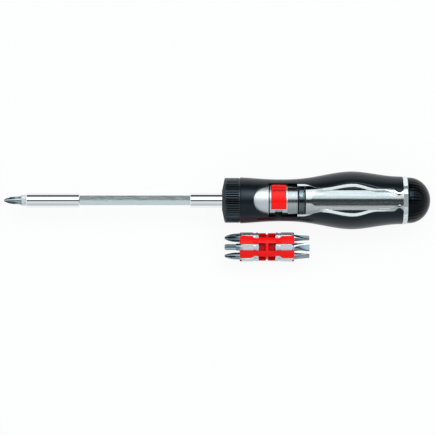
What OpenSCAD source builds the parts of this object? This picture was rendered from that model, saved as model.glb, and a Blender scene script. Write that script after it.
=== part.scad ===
// Ratcheting screwdriver with a bit magazine, lying on a table.
// X runs along the drive axis, with the bit towards -X and the end cap towards +X.
// The origin is on that axis, at the front face of the finger ring. Z points up.
// The magazine is drawn out of its bay in the handle and lies beside the grip.

/* [Bits] */
// Across-flats size of the hexagon of the bar and of every bit
hex_af = 6.35; // [5.2:0.05:7.8]
// Length of every bit
bit_len = 22.5; // [20:0.5:32]
// Length of a bit's full hexagon shank
shank_len = 10.5; // [8:0.5:13]
// Length of the hexagon shank of the fitted bit
fitted_shank = 10.7; // [8:0.1:14]
// Clearance on each flat between a hexagon and its socket
socket_gap = 0.075; // [0.03:0.005:0.15]

/* [Bit holder and bar] */
// How far the fitted bit stands out of the holder
bit_out = 14.9; // [10:0.1:18]
// Length of the bit holder sleeve
holder_len = 35; // [28:0.5:45]
// Wall of the holder outside the socket's corners
holder_wall = 1.1; // [0.8:0.05:2]
// Length of bar between the holder and the ferrule
bar_show = 73; // [40:1:120]
// Diameter of the magnet behind the bit
magnet_d = 4.8; // [3:0.1:5.6]
// Length of the magnet
magnet_len = 4; // [2:0.5:5]
// Wall between the magnet and the bar
magnet_web = 1.9; // [1:0.1:4]

/* [Ferrule and finger ring] */
// Length of the ferrule in front of the finger ring
ferrule_len = 20.9; // [12:0.1:30]
// Wall of the ferrule outside the bar's corners
ferrule_wall = 1.28; // [0.9:0.02:2]
// Step down from the ferrule to its bearing journal
journal_step = 0.25; // [0.1:0.05:0.4]
// Diameter of the finger ring
ring_d = 29.6; // [24:0.2:36]
// Length of the finger ring
ring_len = 11.7; // [8:0.1:16]
// Radius of the flat on the front face of the finger ring
ring_face_r = 6.4; // [5.6:0.1:9]
// Depth of the sloping nose of the finger ring
ring_nose = 1.7; // [1:0.1:3]
// Number of grooves round the finger ring
ring_grooves = 60; // [36:2:72]
// Width of a groove
groove_w = 0.8; // [0.5:0.05:1]
// Depth of a groove
groove_depth = 0.55; // [0.3:0.05:0.8]

/* [Ratchet] */
// Number of teeth on the ratchet wheel
gear_teeth = 24; // [24:12:48]
// Wall of the wheel between the bar's corners and the tooth roots
gear_wall = 2; // [1.5:0.1:3]
// Depth of a tooth
tooth_depth = 0.8; // [0.6:0.05:1]
// Length of the wheel
gear_len = 9; // [6:0.5:12]
// Thickness of the thrust washer
washer_t = 0.85; // [0.5:0.05:1.5]
// Radial thickness of a pawl
pawl_t = 1.5; // [1.2:0.1:2]
// Swing of a pawl between out of and in the teeth, in degrees
pawl_lift = 7; // [6:0.5:9]
// Diameter of the pawl pins
pin_d = 1.1; // [0.8:0.1:1.3]
// Turn of the switch between its two end places, in degrees
selector_travel = 21; // [15:1:24]
// Radial thickness of the selector ring
selector_t = 1.3; // [1:0.1:2]
// Rise of the switch button over the selector ring
button_rise = 2.1; // [1.5:0.1:3]
// Arc that the switch button covers, in degrees
button_arc = 72; // [50:1:74]
// Distance from the switch button to each end of its seat
button_end = 1.05; // [0.4:0.05:1.5]
// Wall of the barrel under the selector ring
seat_wall = 1.25; // [1:0.05:2]
// Length of the barrel in front of the selector ring
front_len = 19.3; // [16:0.1:26]
// Width of the groove between the half-round face and the selector ring
seam_w = 0.65; // [0.4:0.05:1]
// Depth of that groove
seam_depth = 1; // [0.5:0.1:1.4]
// Length of the band behind the seat
end_len = 6.3; // [5:0.1:10]
// Length of the spigot that carries the clear core
spigot_len = 6; // [4:0.5:10]
// Wall of the front bearing bush
bush_wall = 2.2; // [1.5:0.1:3]
// Radius of the bar's rear journal
rear_journal_r = 2.9; // [2.2:0.1:2.9]
// Diameter of the housing screws
screw_d = 1.9; // [1.5:0.1:2.2]
// Diameter of the screw heads
screw_head_d = 3.2; // [2.6:0.1:3.4]
// Diameter of the detent ball
ball_d = 2; // [1.5:0.1:2.4]

/* [Grip] */
// Gap between the finger ring and the grip
grip_gap = 0.2; // [0.15:0.05:2]
// Thickness of the grip over the core at the front lip
lip_t = 2.25; // [1.8:0.05:3]
// Thickness at the neck
neck_t = 0.9; // [0.7:0.05:1.5]
// Thickness at the bulge
bulge_t = 6.25; // [4:0.05:8]
// Thickness at the tail
tail_t = 2.8; // [2.4:0.05:4]
// Distance from the front of the grip to the neck
neck_at = 26.6; // [20:0.1:34]
// Distance from the front of the clear core to the bulge
bulge_at = 36.3; // [30:0.1:44]
// Radius of the half-round opening over the barrel
opening_r = 9.4; // [7:0.1:9.8]
// Gap between the switch at the ends of its travel and the side of the opening
opening_gap = 0.5; // [0.3:0.05:1]

/* [Clear core and its windows] */
// Wall of the bright tube that lines the magazine bay
tube_wall = 0.5; // [0.4:0.05:0.8]
// Wall of the core round the tube
core_wall = 1.85; // [1.6:0.05:3]
// Length of the collar at the front of the window
collar_len = 3.3; // [2:0.1:5]
// Half width of the collar
collar_w = 10.6; // [9:0.1:10.8]
// Length of the rounded front of the window underneath
low_nose = 6; // [3:0.5:10]
// Distance from the collar to the waist of the window
waist_at = 11.7; // [8:0.1:16]
// Half width at the waist
waist_w = 7.9; // [6:0.1:9]
// Half width of the leaf shape over the bulge
leaf_w = 10.7; // [9:0.1:12]
// Distance from the bulge to the straight tail of the window
shelf_at = 16.7; // [12:0.1:20]
// Half width of the straight tail
shelf_w = 7.4; // [6:0.1:8.5]
// Length of the rounded corner behind the tail
corner_len = 3.8; // [2:0.1:6]
// Length of the throat at the end ring
throat_len = 1.8; // [1:0.1:3]
// Half width of the throat
throat_w = 4.8; // [3:0.1:6]
// Length of the clear end ring
end_ring_len = 3; // [2:0.1:5]
// Width of the raised rim along the edge of the window on top
rim_w = 1.3; // [0.8:0.1:2]
// Radius of the round panel within that rim
panel_r = 28; // [16:0.5:40]

/* [End cap] */
// Length of the straight skirt of the cap
cap_skirt = 1; // [0.5:0.1:4]
// Length of the dome of the cap
dome_len = 14.4; // [8:0.1:20]
// Gap between the cap and the end ring
cap_seat = 0.15; // [0.1:0.05:0.4]
// Length of the plug in the tube
plug_len = 9.7; // [6:0.1:12]
// Wall of the plug
plug_wall = 2.4; // [2.2:0.1:4]
// Thickness of the sealing ring
seal_d = 1.3; // [1:0.1:1.6]

/* [Magazine] */
// Place of the magazine's middle along the tool
mag_x = 29.7; // [20:0.1:50]
// Gap between the lip of the grip and the magazine
mag_gap = 5.4; // [4:0.1:30]
// Length of the magazine body
mag_len = 36; // [30:0.5:44]
// Wall between the ends of facing bits
mag_web = 11; // [4:0.1:14]
// Wall between neighbouring channels
rib_web = 0.4; // [0.3:0.05:1]
// Length of the middle band
band_len = 11.8; // [11:0.1:16]
// Length of the scallops beside the band
scallop_len = 4.1; // [3:0.1:6]
// Depth of the scallops under the band
scallop_depth = 0.5; // [0.3:0.1:1.5]
// How far the band lies under the ribs
band_drop = 0.4; // [0.2:0.05:1.2]
// Width of the notch round the band
notch_w = 1.8; // [1:0.1:3]
// Play of the magazine in its bay, round it and along it
bay_play = 0.35; // [0.2:0.05:0.6]

/* [Hidden] */
$fn = 96;
eps = 0.01;
over = 1;
mould_gap = 0.03;
running_gap = 0.05;
press_gap = 0.02;
free_gap = 0.3;
rows = 6;
row_turn = 360 / rows;
flats_up = 30;

// Hexagons
hex_r = hex_af / sqrt(3);
socket_af = hex_af + 2 * socket_gap;
socket_r = socket_af / sqrt(3);

// Radii outwards from the bar
holder_r = socket_r + holder_wall;
ferrule_r = hex_r + ferrule_wall;
journal_r = ferrule_r - journal_step;
bush_r = journal_r + running_gap + bush_wall;
root_r = hex_r + gear_wall;
gear_r = root_r + tooth_depth;
gear_bore_r = gear_r + free_gap;
pawl_in_r = gear_r + free_gap;
pawl_out_r = pawl_in_r + pawl_t;

// Places round the bar, as angles from the top towards +Y
pivot_at = 115;
tooth_at = 60;
nose_at = 50;
lug_at = 53.5;
lug_arc = 7;
pocket_from = 42;
pocket_to = 130;
spring_at = 74;
screws_at = [0, 152, 208];
ring_arc = 100;
cam_from = 41;
cam_to = 71;

// Radii outwards from the pawls
pivot_r = (pawl_in_r + pawl_out_r) / 2;
pivot = [0, pivot_r * sin(pivot_at), pivot_r * cos(pivot_at)];
nose_swing = 2 * pivot_r * sin((pivot_at - nose_at) / 2) * sin(pawl_lift);
pocket_r = pawl_out_r + nose_swing + free_gap;
seat_r = pocket_r + seat_wall;
selector_gap = 0.15;
selector_in_r = seat_r + selector_gap;
selector_r = selector_in_r + selector_t;
cover_gap = 0.35;
barrel_r = selector_r + cover_gap;
button_r = selector_r + button_rise;
opening_w = button_r * sin((button_arc + selector_travel) / 2) + opening_gap;
lug_top_r = seat_r + cover_gap;
screw_at_r = (gear_bore_r + seat_r) / 2 - free_gap;
boss_r = rear_journal_r + running_gap + bush_wall;
clip_room = 1;
clip_room_r = boss_r + clip_room;

// Magazine and its bay
mag_pitch_r = socket_af + rib_web;
mag_sink = 0.03;
mag_flat_r = mag_pitch_r + hex_af / 2 - mag_sink;
mag_r = norm([mag_flat_r, socket_r / 2]);
rib_flat_r = mag_r * cos(row_turn / 2 - atan(socket_r / 2 / mag_flat_r));
band_r = rib_flat_r - band_drop;
mag_total = mag_web + 2 * bit_len;
bay_r = mag_r + bay_play;
tube_r = bay_r + tube_wall;
core_r = tube_r + core_wall;
plug_r = bay_r - 2 * running_gap;
seal_r = bay_r - mould_gap;

// Grip radii
base_r = max(barrel_r, core_r);
lip_r = base_r + lip_t;
neck_r = base_r + neck_t;
bulge_r = base_r + bulge_t;
tail_r = base_r + tail_t;
cut_reach = 2 * bulge_r;
flat_z = lip_r;
lip_ease = 0.8;
bulge_ease = 1.25;
tail_ease = 0.9;
cap_drop = 0.05;
cap_r = flat_z - cap_drop;

// Places along the tool
x_ferrule = -ferrule_len;
x_holder1 = x_ferrule - bar_show;
x_holder0 = x_holder1 - holder_len;
x_tip = x_holder0 - bit_out;
x_bit = x_tip + bit_len;
x_bar0 = x_bit + magnet_len + magnet_web;
x_grip0 = ring_len + grip_gap;
x_seat0 = x_grip0 + front_len;
pocket_wall = 0.6;
x_pocket = x_seat0 + pocket_wall;
x_gear0 = x_pocket + running_gap + washer_t;
x_gear1 = x_gear0 + gear_len;
x_mid = (x_gear0 + x_gear1) / 2;
seat_len = 2 * (x_mid - x_seat0);
x_seat1 = x_seat0 + seat_len;
x_core0 = x_seat1 + end_len;
x_bay0 = x_core0 + spigot_len;
x_plug = x_bay0 + mag_total + 2 * bay_play;
x_core1 = x_plug + plug_len;
x_ring = x_core1 - end_ring_len;
x_neck = x_grip0 + neck_at;
x_bulge = x_core0 + bulge_at;
x_win0 = x_core0 + collar_len;
x_waist = x_win0 + waist_at;
x_shelf = x_bulge + shelf_at;
x_throat = x_ring - throat_len;
x_corner = x_throat - corner_len;
x_cap = x_core1 + cap_seat;
x_dome = x_cap + cap_skirt;
x_seal = (x_plug + x_core1) / 2;
bush_len = 10;
x_bush1 = x_grip0 + bush_len;
x_clip = x_core0 + free_gap;
clip_t = 0.7;
bar_end = 1;
x_bar1 = x_clip + clip_t + bar_end;
screw_bite = seat_len / 3;
pin_bite = 1;
spring_shift = gear_len / 3;
lug_half = pawl_t;
lug_room = 1;
mag_y = -(lip_r + mag_gap + mag_r);
mag_z = mag_flat_r + mag_sink - flat_z;
steps = 24;
pawl_side_gap = 0.2;
fitted_root = 2.75;

// Names of the spare bits: the row round the magazine, the end and the tip of each
spare_bits = [
    ["bit_lobe_25", 0, "front", "lobe", 4.43],
    ["bit_cross_2", 1, "front", "cross", 2.75],
    ["bit_cross_3", 2, "front", "cross", 3],
    ["bit_lobe_20", 3, "front", "lobe", 3.86],
    ["bit_cross_0", 4, "front", "cross", 2.2],
    ["bit_cross_1", 5, "front", "cross", 2.4],
    ["bit_blade_55", 0, "rear", "blade", 5.5],
    ["bit_blade_65", 1, "rear", "blade", 6.5],
    ["bit_lobe_30", 3, "rear", "lobe", 5.5],
    ["bit_lobe_15", 4, "rear", "lobe", 3.27],
    ["bit_blade_40", 5, "rear", "blade", 4]
];

// A point in a section across the tool, by its radius and its angle from the top
function round_point(r, a) = [r * sin(a), r * cos(a)];

// A smooth step from 0 to 1, pulled early or late by the power p
function ease(t, p) = (1 - cos(180 * pow(min(max(t, 0), 1), p))) / 2;

// A smooth change from a to b while x goes from x0 to x1
function change(a, b, x, x0, x1, p = 1) = a + (b - a) * ease((x - x0) / (x1 - x0), p);

// Radius of the grip at x: lip, neck, bulge and tail
function grip_radius(x) =
    x < x_neck ? change(lip_r, neck_r, x, x_grip0, x_neck, lip_ease) :
    x < x_bulge ? change(neck_r, bulge_r, x, x_neck, x_bulge, bulge_ease) :
    change(bulge_r, tail_r, x, x_bulge, x_ring, tail_ease);

// Half width of the window at x: collar, waist, leaf, tail, corner and throat
function window_width(x) =
    x < x_waist ? change(collar_w, waist_w, x, x_win0, x_waist) :
    x < x_bulge ? change(waist_w, leaf_w, x, x_waist, x_bulge) :
    x < x_corner ? change(leaf_w, shelf_w, x, x_bulge, x_shelf) :
    change(shelf_w, throat_w, x, x_corner, x_throat);

// Half width of the window underneath: the same behind a rounded front
function low_width(x) = window_width(x) * sqrt(1 - pow(max(1 - (x - x_win0) / low_nose, 0), 2));

// A round rod along X
module rod(x0, x1, r) {
    translate([x0, 0, 0]) rotate([0, 90, 0]) cylinder(h = x1 - x0, r = r);
}

// A hexagon rod along X, with corners up and down unless it is turned
module hex_rod(x0, x1, af, turn = 0) {
    translate([x0, 0, 0]) rotate([turn, 0, 0]) rotate([0, 90, 0])
        cylinder(h = x1 - x0, r = af / sqrt(3), $fn = 6);
}

// A turned shape round X from points given as [radius, x]
module turned(points) {
    rotate([0, 90, 0]) rotate_extrude() polygon(points);
}

// A section across the tool, drawn as [y, z], carried from x0 to x1
module section(x0, x1) {
    translate([x0, 0, 0]) rotate([90, 0, 90]) linear_extrude(x1 - x0) children();
}

// A wedge of a section from angle a0 to angle a1
module wedge(r, a0, a1) {
    cuts = ceil((a1 - a0) / 30);
    rim = [for (i = [0 : cuts]) round_point(r, a0 + (a1 - a0) * i / cuts)];
    polygon(concat([[0, 0]], rim));
}

// Part of a tube between two radii and two angles
module arc_band(x0, x1, r0, r1, a0, a1) {
    intersection() {
        difference() {
            rod(x0, x1, r1);
            rod(x0 - over, x1 + over, r0);
        }
        section(x0, x1) wedge(2 * r1, a0, a1);
    }
}

// A radial rod at x, from radius r0 to radius r1, at an angle from the top
module spoke(x, a, r0, r1, r) {
    rotate([-a, 0, 0]) translate([x, 0, r0]) cylinder(h = r1 - r0, r = r);
}

// The outside of the handle between the two flats, drawn in by an inset
module handle_form(inset) {
    span = x_ring - x_grip0;
    rim = [for (i = [0 : steps]) let (x = x_grip0 + span * i / steps) [grip_radius(x) - inset, x]];
    intersection() {
        turned(concat([[0, x_grip0]], rim, [[0, x_ring]]));
        flats(x_grip0, x_ring);
    }
}

// The space between the two flats that keep the tool from rolling
module flats(x0, x1) {
    wide = 4 * bulge_r;
    translate([x0, -wide / 2, -flat_z]) cube([x1 - x0, wide, 2 * flat_z]);
}

// The outline of the window on top, from the collar to the end ring, drawn in by an inset
module top_plan(inset) {
    x1 = x_ring + over;
    edge = [for (i = [0 : steps]) let (x = x_core0 + (x1 - x_core0) * i / steps)
        [max(x, x_core0 + inset), window_width(x) - inset]];
    mirrored_plan(edge);
}

// The outline of the window underneath, with closer points in its rounded front
module low_plan(inset) {
    x1 = x_ring + over;
    nose = [for (i = [1 : steps / 2]) x_win0 + low_nose * (1 - cos(180 * i / steps))];
    rest = [for (i = [1 : steps]) x_win0 + low_nose + (x1 - x_win0 - low_nose) * i / steps];
    edge = [for (x = concat(nose, rest)) [x, low_width(x) - inset]];
    mirrored_plan(concat([[x_win0 + inset, 0]], edge));
}

// An outline from the points of its +Y edge
module mirrored_plan(edge) {
    low = [for (i = [len(edge) - 1 : -1 : 0]) if (edge[i][1] > 0) [edge[i][0], -edge[i][1]]];
    polygon(concat(edge, low));
}

// The window on top, as a deep cut or as a pad
module top_window(inset) {
    linear_extrude(cut_reach) top_plan(inset);
}

// The window underneath, as a deep cut or as a pad
module low_window(inset) {
    translate([0, 0, -cut_reach]) linear_extrude(cut_reach) low_plan(inset);
}

// Hexagon bar, turned down to a journal with a clip groove at its rear end
module drive_shaft() {
    groove_r = rear_journal_r - (clip_t - running_gap) / 2;
    color("#c9ced2") {
        hex_rod(x_bar0, x_gear1, hex_af);
        difference() {
            rod(x_gear1 - over, x_bar1, rear_journal_r);
            difference() {
                rod(x_clip, x_clip + clip_t, rear_journal_r + over);
                rod(x_clip - over, x_clip + clip_t + over, groove_r);
            }
        }
    }
}

// Bright sleeve with a bit socket in front and the bar in its rear
module bit_holder() {
    edge = 0.4;
    magnet_r = magnet_d / 2 + press_gap;
    color("#dfe3e6") difference() {
        turned([[0, x_holder0], [holder_r - edge, x_holder0], [holder_r, x_holder0 + edge],
                [holder_r, x_holder1 - edge], [holder_r - edge, x_holder1], [0, x_holder1]]);
        hex_rod(x_holder0 - over, x_bit + running_gap, socket_af, flats_up);
        rod(x_bit, x_bit + magnet_len + running_gap, magnet_r);
        hex_rod(x_bar0 - running_gap, x_holder1 + over, hex_af + 2 * press_gap);
    }
}

// Magnet that holds the bit
module bit_magnet() {
    color("#6b7074") rod(x_bit + running_gap, x_bit + magnet_len, magnet_d / 2);
}

// Bright ferrule whose rear part is the front bearing journal
module ferrule() {
    edge = 0.3;
    color("#dfe3e6") difference() {
        turned([[0, x_ferrule], [ferrule_r - edge, x_ferrule], [ferrule_r, x_ferrule + edge],
                [ferrule_r, 0], [journal_r, 0], [journal_r, x_bush1], [0, x_bush1]]);
        hex_rod(x_ferrule - over, x_bush1 + over, hex_af + 2 * press_gap);
    }
}

// Black finger ring with axial grooves, pressed on the ferrule
module knurled_ring() {
    ring_r = ring_d / 2;
    edge = 0.5;
    front_land = 0.25;
    rear_land = 1.3;
    groove_len = ring_len - ring_nose - 2 * edge - front_land - rear_land;
    color("#1b1c1f") difference() {
        turned([[journal_r + press_gap, 0], [ring_face_r, 0], [ring_r - edge, ring_nose],
                [ring_r, ring_nose + edge], [ring_r, ring_len - edge], [ring_r - edge, ring_len],
                [journal_r + press_gap, ring_len]]);
        for (i = [0 : ring_grooves - 1]) rotate([360 * i / ring_grooves, 0, 0])
            translate([ring_nose + edge + front_land, -groove_w / 2, ring_r - groove_depth])
                cube([groove_len, groove_w, groove_depth + over]);
    }
}

// Ratchet wheel with even V gaps, one of them at the top
module ratchet_gear() {
    pitch = 360 / gear_teeth;
    land = 0.28;
    teeth = [for (i = [0 : gear_teeth - 1]) each [
        round_point(root_r, i * pitch),
        round_point(gear_r, (i + 0.5 - land / 2) * pitch),
        round_point(gear_r, (i + 0.5 + land / 2) * pitch)]];
    color("#8d9296") difference() {
        section(x_gear0, x_gear1) polygon(teeth);
        hex_rod(x_gear0 - over, x_gear1 + over, hex_af + 2 * press_gap);
    }
}

// Thrust washer between the barrel and the wheel
module thrust_washer() {
    color("#b9a04a") difference() {
        rod(x_gear0 - washer_t, x_gear0, root_r);
        hex_rod(x_pocket - over, x_gear0 + over, hex_af + 2 * running_gap);
    }
}

// Open clip in the groove of the journal
module shaft_clip() {
    clip_in_r = rear_journal_r - (clip_t - running_gap) / 2 + press_gap;
    jaw = 0.8 * clip_in_r;
    color("#4b4e52") difference() {
        rod(x_clip + press_gap, x_clip + clip_t - press_gap, boss_r - free_gap);
        rod(x_clip - over, x_clip + clip_t + over, clip_in_r);
        translate([x_clip - over, -jaw, 0]) cube([clip_t + 2 * over, 2 * jaw, 2 * boss_r]);
    }
}

// Silver barrel: bush seat in front, pawl pockets and wheel room behind
module ratchet_housing() {
    bar_room_r = hex_r + free_gap;
    ball_r = ball_d / 2;
    spring_r = pawl_t / 2;
    color("#c4c8cb") difference() {
        union() {
            rod(x_grip0, x_seat0, barrel_r);
            rod(x_grip0, x_seat1, seat_r);
        }
        difference() {
            rod(x_seat0 - seam_w, x_seat0 + eps, barrel_r + over);
            rod(x_seat0 - over, x_seat0 + over, barrel_r - seam_depth);
        }
        rod(x_grip0 - over, x_bush1 + running_gap, bush_r + press_gap);
        rod(x_bush1, x_pocket + eps, bar_room_r);
        rod(x_pocket, x_seat1 + over, gear_bore_r);
        for (side = [0, 1]) mirror([0, side, 0]) {
            intersection() {
                rod(x_pocket, x_seat1 + over, pocket_r);
                section(x_pocket, x_seat1 + over) wedge(2 * seat_r, pocket_from, pocket_to);
            }
            arc_band(x_mid - lug_half - lug_room, x_mid + lug_half + lug_room, gear_r, seat_r + over,
                     lug_at - lug_arc, lug_at + 2 * lug_arc);
            translate(pivot) rod(x_pocket - pin_bite, x_pocket + eps, pin_d / 2 + press_gap);
            spoke(x_mid - spring_shift, spring_at, gear_r, seat_r - free_gap, spring_r);
        }
        spoke(x_mid, 0, gear_r, seat_r + over, ball_r + running_gap);
        for (a = screws_at) screw_rod(a, x_seat1 - screw_bite, x_seat1 + over, screw_d / 2 + press_gap);
    }
}

// A rod along X at one of the housing screws
module screw_rod(a, x0, x1, r) {
    rotate([-a, 0, 0]) translate([0, 0, screw_at_r]) rod(x0, x1, r);
}

// Barrel end: the visible band, the rear bush seat and the spigot for the tube
module housing_end() {
    color("#b4b9bd") difference() {
        union() {
            rod(x_seat1, x_core0, selector_r);
            rod(x_seat1, x_bay0, bay_r - mould_gap);
        }
        rod(x_seat1 - over, x_bay0 + over, boss_r + press_gap);
        rod(x_core0, x_bay0 + over, clip_room_r);
        for (a = screws_at) {
            screw_rod(a, x_seat1 - over, x_core0 + eps, screw_d / 2 + press_gap);
            screw_rod(a, x_core0, x_bay0 + over, screw_head_d / 2 + press_gap);
        }
        for (side = [0, 1]) mirror([0, side, 0])
            translate(pivot) rod(x_seat1 - over, x_seat1 + pin_bite, pin_d / 2 + press_gap);
    }
}

// Screws through the barrel end into the barrel
module housing_screws() {
    head = 1.4;
    slot_w = 0.5;
    color("#9a9ea2") for (a = screws_at) difference() {
        union() {
            screw_rod(a, x_seat1 - screw_bite, x_core0 + eps, screw_d / 2);
            screw_rod(a, x_core0, x_core0 + head, screw_head_d / 2);
        }
        rotate([-a, 0, 0]) translate([x_core0 + head / 2, -slot_w / 2, screw_at_r - screw_head_d])
            cube([head, slot_w, 2 * screw_head_d]);
    }
}

// A plain bearing bush
module bush(x0, x1, bore_r, r) {
    color("#b08d3c") difference() {
        rod(x0, x1, r);
        rod(x0 - over, x1 + over, bore_r);
    }
}

// Bush of the ferrule's journal
module front_bush() {
    bush(x_grip0, x_bush1, journal_r + running_gap, bush_r);
}

// Bush of the bar's rear journal
module rear_bush() {
    bush(x_seat1, x_core0, rear_journal_r + running_gap, boss_r);
}

// Pins of the two pawls, held in the barrel and in the barrel end
module pawl_pins() {
    color("#83888c") for (side = [0, 1]) mirror([0, side, 0]) translate(pivot)
        rod(x_pocket - pin_bite + running_gap, x_seat1 + pin_bite - running_gap, pin_d / 2);
}

// A pawl on the +Y side, in the teeth
module pawl_in() {
    x0 = x_gear0 + pawl_side_gap;
    x1 = x_gear1 - pawl_side_gap;
    eye_r = pawl_t / 2 + free_gap / 2;
    tip_gap = 0.15;
    tooth_share = 0.32;
    tooth_half = tooth_share * 360 / gear_teeth;
    difference() {
        union() {
            arc_band(x0, x1, pawl_in_r, pawl_out_r, nose_at, pivot_at);
            translate(pivot) rod(x0, x1, eye_r);
            section(x0, x1) polygon([
                round_point(root_r + tip_gap, tooth_at),
                round_point(pawl_in_r + free_gap, tooth_at + tooth_half),
                round_point(pawl_in_r + free_gap, tooth_at - tooth_half)]);
            arc_band(x_mid - lug_half, x_mid + lug_half, pawl_out_r - free_gap, lug_top_r,
                     lug_at - lug_arc / 2, lug_at + lug_arc / 2);
        }
        translate(pivot) rod(x0 - over, x1 + over, pin_d / 2 + running_gap);
    }
}

// Pawl on the +Y side, swung out of the teeth while the switch stands towards it
module pawl_forward() {
    color("#7a5f3a") translate(pivot) rotate([-pawl_lift, 0, 0]) translate(-pivot) pawl_in();
}

// Pawl on the -Y side, in the teeth
module pawl_reverse() {
    color("#7a5f3a") mirror([0, 1, 0]) pawl_in();
}

// Springs that press the pawls inwards, both at the length that a lifted pawl leaves them
module pawl_springs() {
    wire = 0.25;
    spring_r = pawl_t / 2 - running_gap;
    lift = 2 * pivot_r * sin((pivot_at - spring_at) / 2) * sin(pawl_lift);
    color("#a7abae") for (side = [0, 1]) mirror([0, side, 0]) difference() {
        spoke(x_mid - spring_shift, spring_at, pawl_out_r + lift + running_gap,
              seat_r - free_gap - running_gap, spring_r);
        spoke(x_mid - spring_shift, spring_at, gear_r, seat_r + over, spring_r - wire);
    }
}

// Spring under the detent ball
module detent_spring() {
    wire = 0.3;
    color("#a7abae") difference() {
        spoke(x_mid, 0, gear_bore_r + free_gap, seat_r + selector_gap - ball_d, ball_d / 2);
        spoke(x_mid, 0, gear_r, seat_r + over, ball_d / 2 - wire);
    }
}

// Ball that falls into the notches of the selector ring
module detent_ball() {
    color("#cfd3d6") translate([x_mid, 0, selector_in_r - running_gap - ball_d / 2]) sphere(d = ball_d);
}

// Shapes of the selector stand turned towards +Y, at one end of its travel
module at_switch() {
    rotate([-selector_travel / 2, 0, 0]) children();
}

// Open ring that turns on its seat, with cam slots for the pawls and notches for the ball
module selector_ring() {
    x0 = x_seat0 + selector_gap;
    x1 = x_seat1 - selector_gap;
    notch_sink = 0.3;
    color("#bfc4c7") at_switch() difference() {
        arc_band(x0, x1, selector_in_r, selector_r, -ring_arc, ring_arc);
        for (side = [0, 1]) mirror([0, side, 0])
            arc_band(x_mid - lug_half - lug_room, x_mid + lug_half + lug_room, seat_r, selector_r + over,
                     cam_from, cam_to);
        for (stop = [-1, 0, 1]) rotate([stop * selector_travel / 2, 0, 0])
            translate([x_mid, 0, selector_in_r - ball_d / 2 + notch_sink]) sphere(d = ball_d);
    }
}

// Red switch button on the selector ring, with grip ridges along its edges
module switch_button() {
    x0 = x_seat0 + button_end;
    x1 = x_seat1 - button_end;
    ridge = 0.35;
    ridge_turn = 5;
    ridge_inset = 1;
    color("#e8161b") at_switch() difference() {
        arc_band(x0, x1, selector_r + eps, button_r, -button_arc / 2, button_arc / 2);
        for (side = [-1, 1], i = [1 : 3]) rotate([side * (button_arc / 2 - ridge_turn * i), 0, 0])
            translate([0, 0, button_r + ridge / 2]) rod(x0 + ridge_inset, x1 - ridge_inset, ridge);
    }
}

// Bright tube that lines the magazine bay and carries the core on the barrel end
module magazine_tube() {
    color("#c4c9cd") difference() {
        rod(x_core0, x_core1, tube_r);
        rod(x_core0 - over, x_core1 + over, bay_r);
    }
}

// The pads that fill the windows: flat underneath, a round panel in a raised rim on top
module window_pads() {
    low_window(mould_gap);
    difference() {
        top_window(mould_gap);
        top_window(rim_w);
    }
    intersection() {
        top_window(rim_w - eps);
        translate([0, 0, flat_z - panel_r]) rod(x_core0, x_ring, panel_r);
    }
}

// Clear core: the magazine bay, the two windows and the end ring
module clear_core() {
    ring_r = tail_r + cap_drop;
    color("#dfe8ea", 0.45) difference() {
        union() {
            rod(x_core0, x_core1, core_r);
            intersection() {
                rod(x_ring, x_core1, ring_r);
                flats(x_ring, x_core1);
            }
            intersection() {
                handle_form(mould_gap);
                window_pads();
            }
        }
        rod(x_core0 - over, x_core1 + over, tube_r + mould_gap);
    }
}

// Black soft grip over the barrel and the core
module soft_grip() {
    x_open = x_seat0 - over;
    color("#22252a") difference() {
        handle_form(0);
        rod(x_grip0 - over, x_core0, barrel_r + mould_gap);
        rod(x_core0 - over, x_ring + over, core_r + mould_gap);
        top_window(0);
        low_window(0);
        linear_extrude(cut_reach) intersection() {
            translate([x_open, 0]) circle(opening_r);
            translate([x_open - opening_r, -opening_r]) square([opening_r + eps, 2 * opening_r]);
        }
        translate([x_open, -opening_w, 0]) cube([x_core0 - x_open + eps, 2 * opening_w, cut_reach]);
    }
}

// Domed end cap with a hollow plug and a groove for the sealing ring
module end_cap() {
    roof = 5;
    dome = [for (i = [1 : steps]) [cap_r * cos(90 * i / steps), x_dome + dome_len * sin(90 * i / steps)]];
    color("#17181a") difference() {
        union() {
            turned(concat([[0, x_cap], [cap_r, x_cap], [cap_r, x_dome]], dome));
            rod(x_plug + bay_play, x_cap + eps, plug_r);
        }
        rod(x_plug, x_cap + roof, plug_r - plug_wall);
        difference() {
            rod(x_seal - seal_d / 2 - running_gap, x_seal + seal_d / 2 + running_gap, plug_r + over);
            rod(x_plug, x_cap, seal_r - seal_d - running_gap);
        }
    }
}

// Sealing ring on the plug
module cap_seal() {
    color("#303336") translate([x_seal, 0, 0]) rotate([0, 90, 0]) rotate_extrude()
        translate([seal_r - seal_d / 2, 0]) circle(d = seal_d);
}

// A bit from its rear end at 0 to its tip at bit_len, with flats up and down
module bit(tip, size, shank = shank_len) {
    color("#84898d") {
        if (tip == "cross") cross_bit(size, shank);
        if (tip == "lobe") lobe_bit(size);
        if (tip == "blade") blade_bit(size);
    }
}

// The shank and the turned outline in front of it, given as [radius, x] points
module bit_blank(outline, shank = shank_len) {
    edge = 0.6;
    intersection() {
        hex_rod(0, bit_len, hex_af, flats_up);
        turned(concat([[0, 0], [hex_r - edge, 0], [hex_r + eps, edge], [hex_r + eps, shank]], outline));
    }
}

// A bit with a pointed cross tip, its size the radius of the tip's root
module cross_bit(root, shank) {
    neck = 1.2;
    cone = 7;
    end_r = 0.8;
    rise = 10;
    core = 0.5;
    flute = 2 * hex_af;
    difference() {
        bit_blank([[root, shank + neck], [root, bit_len - cone], [end_r, bit_len], [0, bit_len]], shank);
        for (k = [0 : 3]) rotate([45 + 90 * k, 0, 0]) translate([bit_len, 0, core])
            rotate([0, rise - 90, 0]) translate([0, 0, -over]) rotate([0, 0, -45])
                cube([flute, flute, bit_len]);
    }
}

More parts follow.
